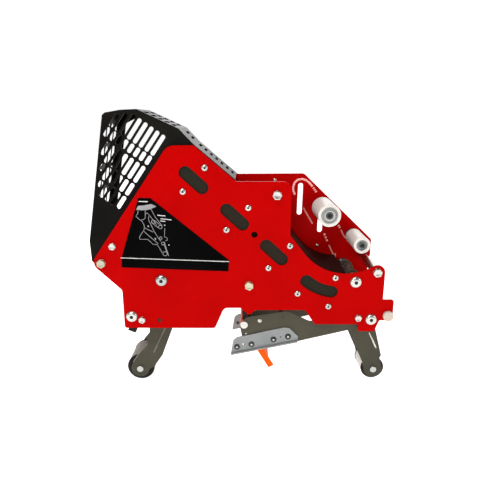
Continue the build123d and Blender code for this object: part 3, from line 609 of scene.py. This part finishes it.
def strokes(
    name: str, paths: Iterable[Sequence[Point]], face: float, width: float, rise: float
) -> Piece:
    """Thin raised lines on a plate, drawn as X and Z in millimetres.

    Args:
        name: Name of the piece.
        paths: The lines, each a run of points.
        face: Y of the face they lie on, in metres.
        width: Width of a line, in metres.
        rise: How far a line stands off the face, in metres.

    Returns:
        One mesh of all the lines.
    """
    deselect()
    curve = bpy.data.curves.new(name, "CURVE")
    curve.dimensions = "3D"
    curve.bevel_depth = width / 2
    curve.bevel_resolution = 1
    curve.use_fill_caps = True
    for path in paths:
        spline = curve.splines.new("POLY")
        closed = path[0] == path[-1]
        points = path[:-1] if closed else path
        spline.points.add(len(points) - 1)
        spline.use_cyclic_u = closed
        for point, (x, z) in zip(spline.points, points):
            point.co = (x * MM, face, z * MM, 1.0)
    piece = bpy.data.objects.new(name, curve)
    bpy.context.scene.collection.objects.link(piece)
    only(piece)
    bpy.ops.object.convert(target="MESH")
    piece = bpy.context.object
    with editing(piece):
        bpy.ops.transform.resize(value=(1, 2 * rise / width, 1), center_override=(0, face, 0))
    return settle(piece, name)


def circle(centre: Point, radius: float, steps: int = 18) -> list[Point]:
    """Points round a circle, from +X towards +Z.

    Args:
        centre: Its centre.
        radius: Its radius.
        steps: Number of runs.

    Returns:
        The points, with the last the same as the first.
    """
    turns = [math.radians(360 * i / steps) for i in range(steps)]
    points = [(centre[0] + radius * math.cos(a), centre[1] + radius * math.sin(a)) for a in turns]
    return [*points, points[0]]


def sheet_shape(name: str, outline: Sequence[Point], face: float, rise: float) -> Piece:
    """A flat shape on a plate, drawn as X and Z in millimetres.

    Args:
        name: Name of the piece.
        outline: Its corners in order.
        face: Y of the face it lies on, in metres.
        rise: Its thickness towards -Y, in metres.

    Returns:
        The closed thin solid.
    """
    deselect()
    bpy.ops.mesh.primitive_circle_add(vertices=len(outline), radius=1.0, fill_type="NGON")
    piece = bpy.context.object
    for vert, (x, z) in zip(piece.data.vertices, outline):
        vert.co = (x * MM, face, z * MM)
    with editing(piece):
        bpy.ops.mesh.extrude_region_move(TRANSFORM_OT_translate={"value": (0, -rise, 0)})
        face_outwards()
    return settle(piece, name)


@dataclass
class SubAssembly:
    """A part of the head that is dressed together."""

    shop: Paintshop
    made: list[str] = field(default_factory=list)

    def finish_piece(
        self, piece: Piece, finish: str, body: str, slot: str, *replaced: str
    ) -> Piece:
        """Paint a piece, put it on its body and hide the CAD nodes that it stands for.

        Args:
            piece: The piece.
            finish: Name of its finish.
            body: The CAD body that it moves with.
            slot: The record's material slot; not used.
            replaced: CAD nodes that it stands for.

        Returns:
            The same piece.
        """
        self.shop.paint(piece, finish)
        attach(piece, body)
        if replaced:
            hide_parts(*replaced)
        self.made.append(piece.name)
        LOG.info("%s rides on %s in %s", piece.name, body, finish)
        return piece


# ------------------------------------------------------------------ fasteners
class Head(Enum):
    """The kinds of screw head on the machine."""

    HEX = "hex"
    BUTTON = "button"

    @property
    def shank_share(self) -> float:
        """Radius of the shank as a share of the head's."""
        return 0.58 if self is Head.HEX else 0.46


@dataclass
class Fasteners(SubAssembly):
    """Every screw and bolt head, each modelled once and copied to its places."""

    chamfer: float = 0.45 * MM
    flange_t: float = 0.8 * MM
    hex_share: float = 0.90
    dish_steps: tuple[Point, ...] = ((-1.0, 0.66), (0.0, 0.66), (0.4, 0.52))
    dome_turn: float = math.radians(62)
    dome_steps: int = 6
    dome_fall: float = 0.42
    rim_share: float = 0.3025
    socket: float = 0.36
    socket_foot: float = 0.35
    socket_tip: float = 0.22
    turn_rate: float = 9000.0
    masters: dict[tuple, Piece] = field(default_factory=dict)

    def hex_head(self, radius: float, height: float, shank: float, inner: float) -> Piece:
        """A hex flange head at the origin, seated at Y 0 and pointing to -Y.

        Args:
            radius: Half the width over its flats.
            height: Height over the plate.
            shank: Radius of the shank.
            inner: Length of the shank.

        Returns:
            The head with its washer face, recess and shank.
        """
        corner = radius * self.hex_share / math.cos(math.pi / 6)
        body = turned("hex", (0, 0), [(-self.flange_t, corner), (-height, corner)], 6)
        with editing(body):
            bpy.ops.transform.rotate(
                value=math.pi / 6, orient_axis="Y", center_override=(0, 0, 0)
            )
        dish = stepped(-height, Side.NEAR.value, radius, self.dish_steps)
        cut(body, turned("dish", (0, 0), dish, 32))
        soften(body, self.chamfer, 2, 30)
        washer = turned("washer", (0, 0), [
            (inner, shank), (0.0, shank), (0.0, radius * 0.98),
            (-self.flange_t, radius * 0.94), (-self.flange_t, radius * 0.5),
        ], 32)
        soften(washer, 0.12 * MM, 1)
        return joined([body, washer], "hex_master")

    def button_head(self, radius: float, height: float, shank: float, inner: float) -> Piece:
        """A domed head with a hex socket at the origin, seated at Y 0 and pointing to -Y.

        Args:
            radius: Radius of the head.
            height: Height over the plate.
            shank: Radius of the shank.
            inner: Length of the shank.

        Returns:
            The head with its shank.
        """
        dome = [(inner, shank), (0.0, shank), (0.0, radius)]
        rim = height * self.rim_share
        for i in range(self.dome_steps + 1):
            turn = self.dome_turn * i / self.dome_steps
            rise = (height - rim) * math.sin(turn) / math.sin(self.dome_turn)
            fall = self.dome_fall * (1 - math.cos(turn)) / (1 - math.cos(self.dome_turn))
            dome.append((-rim - rise, radius * (1 - fall)))
        head = turned("dome", (0, 0), dome, 36)
        socket_r = radius * self.socket
        tool = turned("tool", (0, 0), [
            (-height - MM, socket_r), (-height * self.socket_foot, socket_r),
            (-height * self.socket_tip, socket_r * 0.4),
        ], 6)
        cut(head, tool)
        soften(head, 0.10 * MM, 1, 30)
        head.name = "button_master"
        return head

    def place(
        self,
        node: str,
        kind: Head,
        finish: str,
        body: str = "frame",
        seat: float | None = None,
        special: Sequence[Point] = (),
    ) -> None:
        """Stand modelled heads where a CAD node has its solids.

        Args:
            node: The CAD node of plain screws.
            kind: The kind of head.
            finish: Name of the finish.
            body: The body that they ride on.
            seat: Distance from the middle plane to the face under the heads.
            special: X and Z, in millimetres, of heads in the yellow finish.
        """
        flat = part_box("side_plate_near")[0].y if seat is None else -seat
        plain, gold, sockets = [], [], []
        for box in solids(node):
            outward, face, back = faces_of(box)
            inner = outward * back
            height = outward * face + flat
            radius = radius_of(box)
            shank = radius * kind.shank_share
            make = self.hex_head if kind is Head.HEX else self.button_head
            key = (kind, round(radius, 5), round(height, 5), round(inner, 4))
            master = self.masters.get(key)
            if master is None:
                master = make(radius, height, shank, max(-flat - inner, 0.5 * MM))
                self.masters[key] = master
            copy = master.copy()
            copy.data = master.data.copy()
            bpy.context.scene.collection.objects.link(copy)
            x, z = centre_of(box)
            turn = Matrix.Identity(4) if outward < 0 else Matrix.Rotation(math.pi, 4, "Z")
            spin = Matrix.Rotation(math.radians((x + 2 * z) * self.turn_rate), 4, "Y")
            copy.data.transform(Matrix.Translation((x, outward * -flat, z)) @ turn @ spin)
            chosen = any(math.dist((x / MM, z / MM), p) < 1.0 for p in special)
            (gold if chosen else plain).append(copy)
            # A near-black hex prism in each socket of a button head: painted shade in the recess.
            if kind is Head.BUTTON:
                depth = outward * (-flat + height * 0.5)
                sockets.append(turned("socket", (x, z), [
                    (depth, radius * self.socket * 0.9),
                    (depth - outward * height * 0.2, radius * self.socket * 0.98),
                ], 6))
        piece = joined(plain, f"{node}_heads")
        self.finish_piece(piece, finish, body, finish if finish in SLOTS else "zinc", node)
        if gold:
            piece = joined(gold, f"{node}_heads_yellow")
            self.finish_piece(piece, "yellow_zinc", body, "zinc", node)
        if sockets:
            piece = joined(sockets, f"{node}_sockets")
            self.finish_piece(piece, "recess_shade_black", body, "black_screw")

    def build(self) -> None:
        """Model and place every head."""
        self.place("tie_bolts", Head.HEX, "zinc", special=[(7.1, 174.5), (-215.8, 209.4)])
        self.place("frame_screws", Head.HEX, "zinc")
        for node in ("guide_screws", "mounting_studs", "pivot_screws"):
            self.place(node, Head.BUTTON, "zinc")
        slide_face = -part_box("cutoff_side_near")[0].y + 2.0 * MM
        self.place("slide_screws", Head.BUTTON, "black_screw", "cutoff_frame", slide_face)
        for master in self.masters.values():
            bpy.data.objects.remove(master)
        self.screw_ends(slide_face)

    def screw_ends(self, slide_face: float) -> None:
        """Bright threaded ends in the black collars of the slides.

        Args:
            slide_face: Distance from the middle plane to the outer face of a slide.
        """
        ends = []
        for box in solids("slide_screws"):
            outward, tip, _ = faces_of(box)
            end = turned("end", centre_of(box), [
                (outward * (slide_face + 0.3 * MM), 1.6 * MM),
                *stepped(tip, outward, MM, ((-0.05, 1.6), (-0.35, 1.1))),
            ], 20)
            soften(end, 0.12 * MM, 2, 25)
            ends.append(end)
        piece = joined(ends, "slide_screw_ends")
        self.finish_piece(piece, "zinc", "cutoff_frame", "zinc")


# ------------------------------------------------------------------ rollers
@dataclass
class TapeRollers(SubAssembly):
    """White sleeves, alloy hubs, bearing rings and bores of the two tape rollers."""

    lip: float = 0.7 * MM
    collar: float = 3.0 * MM
    skim: float = 0.18 * MM
    bore_share: float = 0.36
    hub_steps: tuple[Point, ...] = (
        (0.0, 0.88), (1.8, 0.80), (1.8, 0.66), (-0.1, 0.62), (-0.1, 0.47),
    )
    ring_steps: tuple[Point, ...] = (
        (1.3, 0.61), (0.5, 0.62), (-0.35, 0.60), (-0.35, 0.49), (1.3, 0.47),
    )
    bore_steps: tuple[Point, ...] = ((1.2, 0.455), (0.5, 0.46), (0.4, 0.30), (1.0, 0.22))

    def sleeve(self, roller: str) -> None:
        """The white sleeve with rounded ends and a lip round its bore.

        Args:
            roller: Name of the roller, which is also its node and its body.
        """
        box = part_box(roller)
        radius, bore = radius_of(box), radius_of(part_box(f"{roller}_hubs"))
        half = [
            (self.collar, bore * 0.99), (self.lip, bore), (0.0, bore + self.lip),
            (0.0, radius - 0.5 * MM), (0.8 * MM, radius), (self.collar, radius),
            (self.collar + 0.3 * MM, radius - self.skim),
        ]
        profile = [(box[0].y + depth, r) for depth, r in half]
        profile += [(box[1].y - depth, r) for depth, r in reversed(half)]
        piece = turned(f"{roller}_sleeve", centre_of(box), profile, 80)
        soften(piece, 0.25 * MM, 2, 25)
        self.finish_piece(piece, "white_plastic", roller, "white_plastic", roller)

    def hubs(self, roller: str) -> None:
        """Stepped alloy hub, bright bearing ring and a near-black cap of painted shade in the bore at each end of
        a roller.

        Args:
            roller: Name of the roller.
        """
        pieces, bores, rings = [], [], []
        for box in solids(f"{roller}_hubs"):
            outward, face, back = faces_of(box)
            centre, radius = centre_of(box), radius_of(box)
            bore = radius * self.bore_share
            hub = turned("hub", centre, [
                (back, bore), (back, radius), (face - outward * 0.6 * MM, radius),
                (face, radius - 0.6 * MM), *stepped(face, outward, radius, self.hub_steps),
                (face - outward * 3.0 * MM, bore),
            ], 64)
            soften(hub, 0.15 * MM, 2, 25)
            pieces.append(hub)
            ring = stepped(face, outward, radius, self.ring_steps)
            rings.append(turned("ring", centre, ring, 48))
            # A near-black cap in the bore: painted shade in the hole.
            bore_cap = stepped(face, outward, radius, self.bore_steps)
            bores.append(turned("bore", centre, bore_cap, 40))
        piece = joined(pieces, f"{roller}_hub_faces")
        self.finish_piece(piece, "grey_alloy", roller, "grey_alloy", f"{roller}_hubs")
        self.finish_piece(joined(rings, f"{roller}_bearing_rings"), "zinc", roller, "zinc")
        piece = joined(bores, f"{roller}_bore_caps")
        self.finish_piece(piece, "recess_shade_black", roller, "black_screw")

    def build(self) -> None:
        """Model both rollers."""
        for roller in ("tension_roller", "wrap_roller"):
            self.sleeve(roller)
            self.hubs(roller)


@dataclass
class CartonRollers(SubAssembly):
    """The applying and buffing rollers that run on the carton."""

    crown: float = 0.35 * MM
    stations: int = 12
    core: float = 0.3
    rim_steps: tuple[Point, ...] = ((0.0, 0.80), (0.6, 0.76), (0.6, 0.42), (0.0, 0.38))

    def roller(self, name: str, finish: str) -> None:
        """One roller: a crowned sleeve and two rounded rims.

        Args:
            name: Name of the roller, which is also its node and its body.
            finish: Finish of its sleeve.
        """
        low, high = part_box(name)
        centre, radius = centre_of((low, high)), radius_of((low, high))
        span = high.y - low.y
        profile = [(low.y, radius * self.core)]
        for i in range(self.stations + 1):
            along = i / self.stations
            sunk = self.crown * (2 * along - 1) ** 4
            profile.append((low.y + along * span, radius - sunk))
        profile.append((high.y, radius * self.core))
        sleeve = turned(f"{name}_sleeve", centre, profile, 80)
        soften(sleeve, 0.3 * MM, 2, 35)
        self.finish_piece(sleeve, finish, name, finish, name)
        rims = []
        for box in solids(f"{name}_rims"):
            outward, face, back = faces_of(box)
            r = radius_of(box)
            rim = turned("rim", centre, [
                (back, r * self.core), (back, r - 0.3 * MM), (back + outward * 0.3 * MM, r),
                (face - outward * 0.5 * MM, r), (face, r - 0.5 * MM),
                *stepped(face, outward, r, self.rim_steps), (face, r * self.core),
            ], 80)
            soften(rim, 0.15 * MM, 2, 30)
            rims.append(rim)
        piece = joined(rims, f"{name}_tyres")
        self.finish_piece(piece, "rubber", name, "rubber", f"{name}_rims")

    def build(self) -> None:
        """Model both rollers."""
        self.roller("apply_roller", "white_plastic")
        self.roller("buff_roller", "grey_rubber")


# ------------------------------------------------------------------ graphics
@dataclass
class PlateArt(SubAssembly):
    """Printed lines and shapes on the -Y face of a plate."""

    plate: str = ""
    slot: str = ""
    rise: float = 0.05 * MM

    def lines(self, name: str, ink: str, width: float, paths: Iterable[Sequence[Point]]) -> None:
        """Print lines.

        Args:
            name: Name of the piece.
            ink: Finish of the lines.
            width: Width of a line, in metres.
            paths: The lines, each a run of points in millimetres.
        """
        piece = strokes(name, paths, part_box(self.plate)[0].y, width, self.rise)
        self.finish_piece(piece, ink, "frame", self.slot)

    def shape(self, name: str, ink: str, outline: Sequence[Point]) -> None:
        """Print a filled shape.

        Args:
            name: Name of the piece.
            ink: Finish of the shape.
            outline: Its corners in order, in millimetres.
        """
        piece = sheet_shape(name, outline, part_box(self.plate)[0].y, self.rise)
        self.finish_piece(piece, ink, "frame", self.slot)


@dataclass
class LabelArt(PlateArt):
    """Line figure of the tape path on the black label, with no lettering."""

    plate: str = "label_plate"
    slot: str = "label_film"
    rule_line: float = 1.35 * MM
    figure_line: float = 0.95 * MM
    bar_line: float = 1.5 * MM
    dot_line: float = 1.1 * MM

    def build(self) -> None:
        """Draw the figure, its rule and its plain bars."""
        rule = [[(-186.0, 218.0), (-23.5, 212.3)]]
        figure = [
            [(-155.9, 290.7), (-156.4, 286.1), (-159.6, 282.0), (-156.6, 278.7), (-151.2, 274.7),
             (-148.4, 269.0), (-147.8, 264.5), (-149.2, 260.2), (-152.9, 255.5), (-156.0, 250.2),
             (-155.6, 246.8), (-143.7, 246.8), (-136.1, 239.0), (-130.2, 238.7), (-126.0, 231.6),
             (-123.2, 225.6)],
            [(-145.3, 290.7), (-145.9, 279.3), (-148.3, 277.0), (-151.6, 276.6)],
            [(-145.0, 286.1), (-142.4, 286.5), (-136.0, 278.4), (-129.5, 268.8)],
            [(-136.8, 292.4), (-130.8, 280.0), (-121.6, 267.6)],
            [(-140.8, 281.6), (-141.0, 275.8), (-139.4, 272.6), (-137.5, 267.8), (-134.0, 259.4),
             (-128.7, 250.0), (-124.6, 244.0)],
            [(-119.6, 243.0), (-116.8, 232.6), (-113.8, 221.2)],
            [(-147.2, 264.4), (-141.2, 261.0), (-135.4, 258.0)],
            [(-148.6, 258.8), (-141.1, 251.5), (-131.2, 242.6), (-128.6, 239.8)],
            [(-117.8, 264.0), (-118.4, 257.5), (-119.0, 250.6), (-115.0, 249.0), (-114.8, 245.8),
             (-117.4, 244.6)],
            circle((-134.4, 273.6), 2.6), circle((-124.4, 265.6), 2.7),
            circle((-124.6, 248.8), 1.9), circle((-121.6, 240.4), 2.2),
            circle((-119.0, 224.6), 3.3),
            [(-136.8, 272.0), (-126.8, 264.0)], [(-132.2, 275.2), (-122.4, 267.6)],
            [(-119.8, 238.6), (-116.2, 226.6)],
        ]
        self.lines("label_rule", "label_ink", self.rule_line, rule)
        self.lines("label_figure", "label_grey_ink", self.figure_line, figure)
        self.shape("label_band", "label_grey_ink", [
            (-155.4, 297.4), (-146.8, 298.0), (-140.0, 299.3), (-136.4, 300.0), (-128.6, 296.5),
            (-137.9, 292.2), (-144.0, 291.0), (-151.4, 290.8), (-158.6, 291.6),
        ])
        bars = [
            [(-123.6, 278.2), (-107.4, 276.4)], [(-123.8, 274.9), (-116.4, 274.0)],
            [(-128.0, 283.4), (-116.2, 282.4)], [(-154.2, 303.9), (-141.0, 303.4)],
        ]
        dots = [circle(point, 0.55, 8) for point in (
            (-142.1, 266.8), (-132.5, 247.6), (-117.7, 268.4), (-112.7, 238.2))]
        self.lines("label_bars", "label_ink", self.bar_line, bars)
        self.lines("label_dots", "label_ink", self.dot_line, dots)


@dataclass
class ThreadingArt(PlateArt):
    """Pink threading lines on the inner face of the far plate."""

    plate: str = "side_plate_far"
    slot: str = "red_paint"
    line: float = 3.0 * MM
    hook_line: float = 4.0 * MM
    dash_from: float = 0.05
    dash_to: float = 0.66

    def build(self) -> None:
        """Draw the path that the tape is threaded along."""
        hook = [(83.6, 298.5), (80.8, 304.6), (80.4, 311.0), (82.6, 318.2), (88.0, 323.0),
                (95.2, 324.4), (102.2, 322.0), (107.6, 317.4), (112.3, 311.9)]
        paths = [[(98.4, 276.0), (114.7, 249.0)],
                 [(163.6, 238.2), (168.0, 229.4), (171.4, 224.8), (174.4, 223.0)],
                 [(144.2, 211.6), (153.6, 192.6)]]
        dashes = []
        for (x0, z0), (x1, z1), count in (
            ((113.6, 310.2), (119.9, 301.6), 3), ((158.6, 246.4), (162.2, 240.6), 2),
            ((135.1, 232.2), (142.0, 216.6), 3), ((202.5, 190.4), (206.5, 192.6), 1),
        ):
            for i in range(count):
                ends = [(i + share) / count for share in (self.dash_from, self.dash_to)]
                dashes.append([(x0 + (x1 - x0) * a, z0 + (z1 - z0) * a) for a in ends])
        self.lines("threading_lines", "pink_ink", self.line, paths)
        self.lines("threading_hook", "pale_pink_ink", self.hook_line, [hook, *dashes])
        self.shape("threading_arrow", "pink_ink", [
            (146.2, 194.6), (151.6, 194.0), (157.2, 198.0), (157.8, 182.6),
        ])


# ------------------------------------------------------------------ arms
@dataclass
class Arms(SubAssembly):
    """Pressed beads along the sheet of the two roller arms, in lighter olive as a painted highlight along each
    bead.
    """

    rise: float = 0.5 * MM
    apply_bead: float = 2.0 * MM
    buff_bead: float = 1.6 * MM

    def beads(self, arm: str, runs: Sequence[Sequence[Point]], width: float, finish: str) -> None:
        """Beads on the outer face of both plates of an arm.

        Args:
            arm: Name of the arm.
            runs: Lines of points, in millimetres along the arm and across it.
            width: Width of a bead, in metres.
            finish: Name of its finish.
        """
        foot = Vector(centre_of(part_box(f"{arm}_roller")))
        up = (Vector(joint_point(f"{arm}_swing")) - foot).normalized()
        right = Vector((up.y, -up.x))
        paths = [[tuple((foot / MM + up * a + right * c)) for a, c in run] for run in runs]
        for side in Side:
            low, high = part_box(f"{arm}_arm_{side.name.lower()}")
            face = low.y if side is Side.NEAR else high.y
            piece = strokes(f"{arm}_arm_bead_{side.name.lower()}", paths, face, width, self.rise)
            self.finish_piece(piece, finish, f"{arm}_arm", "olive_paint")

    def build(self) -> None:
        """Model the beads of both arms."""
        # The beads take lighter olives, a painted highlight along each bead.
        self.beads("apply", [[(66.0, 6.9), (36.0, 12.8)]], self.apply_bead, "bead_highlight_pale")
        self.beads("buff", [
            [(82.0, 22.6), (34.0, 14.6)], [(8.0, -14.0), (23.0, -9.2), (46.0, 1.6)],
        ], self.buff_bead, "bead_highlight_olive")


# ------------------------------------------------------------------ small fittings
@dataclass
class Fittings(SubAssembly):
    """Knob, washers, rivets and screw ends."""

    knob_back: tuple[Point, ...] = ((0.0, 0.82), (0.8, 0.97), (2.2, 1.0))
    knob_front: tuple[Point, ...] = (
        (2.0, 1.0), (0.7, 0.93), (0.0, 0.80), (0.0, 0.48), (0.9, 0.40), (0.9, 0.2),
    )
    rivet_offset: Point = (-36.0 * MM, -3.4 * MM)
    rivet_steps: tuple[Point, ...] = (
        (0.4, 2.0), (0.0, 2.0), (0.0, 3.4), (-0.7, 3.1), (-1.3, 2.0), (-1.5, 0.8),
    )
    bolt_radius: float = 2.6 * MM

    def knob(self) -> None:
        """Clear nylon knob with a dished face and a rounded rim."""
        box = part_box("edge_knob")
        radius = radius_of(box)
        piece = turned("edge_knob_cap", centre_of(box), [
            *stepped(box[1].y, Side.FAR.value, radius, self.knob_back),
            *stepped(box[0].y, Side.NEAR.value, radius, self.knob_front),
        ], 64)
        soften(piece, 0.4 * MM, 3, 20)
        self.finish_piece(piece, "clear_nylon", "frame", "clear_nylon", "edge_knob")

    def washers(self) -> None:
        """Thin rings round the near heads of the studs and the pivot screws."""
        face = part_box("side_plate_near")[0].y
        rings = []
        for box in solids("mounting_studs") + solids("pivot_screws"):
            if box[0].y > 0:
                continue
            radius = radius_of(box)
            ring = turned("ring", centre_of(box), [
                (face + 0.5 * MM, radius), (face, radius + 0.25 * MM),
                (face - 0.35 * MM, radius + 0.2 * MM), (face - 0.45 * MM, radius - 0.2 * MM),
            ], 48)
            soften(ring, 0.1 * MM, 1, 25)
            rings.append(ring)
        self.finish_piece(joined(rings, "stud_washers"), "dark_steel", "frame", "dark_steel")

    def rivets(self) -> None:
        """Rivet heads on the outer faces of the cut-off sides."""
        heads = []
        x, z = centre_of(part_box("cutoff_rod"))
        outer = -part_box("cutoff_side_near")[0].y
        place = (x + self.rivet_offset[0], z + self.rivet_offset[1])
        for side in Side:
            steps = stepped(side.value * outer, side.value, MM, self.rivet_steps)
            head = turned("rivet", place, steps, 28)
            soften(head, 0.2 * MM, 2, 25)
            heads.append(head)
        self.finish_piece(joined(heads, "cutoff_rivets"), "zinc", "cutoff_frame", "zinc")

    def far_bolts(self) -> None:
        """Domed screw ends on the inner face of the far plate."""
        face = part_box("side_plate_far")[0].y
        ends = []
        for x, z, height in ((49.8, 323.0, 2.0), (123.7, 211.6, 2.4)):
            steps = [(-0.3, 1.0), (height * 0.6, 1.0), (height, 0.6)]
            ends.append(turned("far_bolt", (x * MM, z * MM), stepped(
                face, Side.FAR.value, self.bolt_radius, steps), 24))
            soften(ends[-1], 0.3 * MM, 2, 20)
        self.finish_piece(joined(ends, "far_plate_screw_ends"), "zinc", "frame", "zinc")

    def build(self) -> None:
        """Model every fitting."""
        self.far_bolts()
        self.knob()
        self.washers()
        self.rivets()


# ------------------------------------------------------------------ studio
@dataclass(frozen=True)
class Studio:
    """Plain pale floor, soft light and the camera."""

    eye: tuple[float, float, float] = (0.0005, -0.716, 0.4184)
    pitch: float = 14.85
    yaw: float = 0.30
    lens: float = 34.29
    sensor: float = 36.0
    floor_r: float = 6.0
    floor_glow: float = 0.75
    front_light: float = 0.30
    top_light: float = 0.40
    horizon_light: float = 1.5
    front_band: tuple[float, float] = (-0.55, 0.10)
    top_band: tuple[float, float] = (0.50, 0.24)
    aim: tuple[float, float, float] = (0.0, 0.0, 0.2)
    lamps: tuple[tuple[str, tuple[float, float, float], float, float], ...] = (
        ("overhead", (-0.4, -0.8, 1.9), 1.2, 24.0),
        ("front_key", (-0.9, -1.9, 1.1), 1.0, 14.0),
        ("side_fill", (1.9, -0.9, 0.9), 0.9, 8.0),
        ("back_fill", (0.2, 1.9, 1.2), 1.2, 8.0),
    )

    def floor(self) -> None:
        """Pale floor with a faint mottle."""
        deselect()
        bpy.ops.mesh.primitive_circle_add(vertices=96, radius=self.floor_r, fill_type="NGON")
        floor = bpy.context.object
        floor.name = "studio_floor"
        with editing(floor):
            bpy.ops.mesh.inset(thickness=self.floor_r / 2)
        shader = Shader("pale_floor")
        mottle = shader.noise(3.0)
        colour = shader.mix(mottle, grey(0.94), grey(0.96))
        socket = shader.principled.inputs
        shader.join(colour, socket["Base Color"])
        socket["Roughness"].default_value = 0.9
        socket["Specular IOR Level"].default_value = 0.1
        socket["Emission Color"].default_value = (1.0, 1.0, 1.0, 1.0)
        socket["Emission Strength"].default_value = self.floor_glow
        floor.data.materials.append(shader.material)

    def world(self) -> None:
        """Room that looks white but lights less from overhead and from the front."""
        world = bpy.data.worlds.new("white_room")
        bpy.context.scene.world = world
        world.use_nodes = True
        world.node_tree.nodes.clear()
        room = NodeTree(world.node_tree)
        split = room.nodes.new("ShaderNodeSeparateXYZ")
        room.join(room.coords.outputs["Generated"], split.inputs["Vector"])
        front = room.spread(split.outputs["Y"], self.front_band, (self.front_light, 1.0))
        top = (self.top_light, self.horizon_light)
        above = room.spread(split.outputs["Z"], self.top_band, top)
        seen = room.nodes.new("ShaderNodeLightPath")
        strength = room.nodes.new("ShaderNodeMix")
        room.join(seen.outputs["Is Camera Ray"], strength.inputs["Factor"])
        room.join(room.times(front, above), strength.inputs["A"])
        strength.inputs["B"].default_value = 1.0
        background = room.nodes.new("ShaderNodeBackground")
        background.inputs["Color"].default_value = (1.0, 1.0, 1.0, 1.0)
        room.join(strength.outputs["Result"], background.inputs["Strength"])
        output = room.nodes.new("ShaderNodeOutputWorld")
        room.join(background.outputs["Background"], output.inputs["Surface"])

    def lamp(self, name: str, place: Sequence[float], size: float, power: float) -> None:
        """A square soft light aimed at the middle of the head.

        Args:
            name: Name of the light.
            place: Where it stands, in metres.
            size: Side of the square, in metres.
            power: Its power, in watts.
        """
        light = bpy.data.lights.new(name, "AREA")
        light.size = size
        light.energy = power
        lamp = bpy.data.objects.new(name, light)
        bpy.context.scene.collection.objects.link(lamp)
        lamp.location = place
        ahead = Vector(self.aim) - Vector(place)
        lamp.rotation_euler = ahead.to_track_quat("-Z", "Y").to_euler()

    def camera(self) -> None:
        """The camera in front of the near plate."""
        data = bpy.data.cameras.new("camera")
        data.lens = self.lens
        data.sensor_width = self.sensor
        camera = bpy.data.objects.new("camera", data)
        bpy.context.scene.collection.objects.link(camera)
        camera.location = self.eye
        camera.rotation_euler = (math.radians(90 - self.pitch), 0, math.radians(self.yaw))
        bpy.context.scene.camera = camera

    def build(self) -> None:
        """Set up the studio."""
        self.floor()
        self.world()
        for name, place, size, power in self.lamps:
            self.lamp(name, place, size, power)
        self.camera()
        scene = bpy.context.scene
        scene.view_settings.view_transform = "Standard"
        scene.view_settings.look = "None"


def main() -> None:
    """Dress the whole head and set it in the studio."""
    logging.basicConfig(level=logging.INFO, format="%(name)s: %(message)s")
    shop = Paintshop()
    shop.paint_nodes()
    made: list[str] = []
    groups = (Fasteners, TapeRollers, CartonRollers, LabelArt, ThreadingArt, Arms, Fittings)
    for group in groups:
        assembly = group(shop)
        assembly.build()
        made += assembly.made
        LOG.info("%s made %d pieces", group.__name__, len(assembly.made))
    Studio().build()
    LOG.info("%d pieces in all", len(made))


if __name__ == "__main__":
    main()
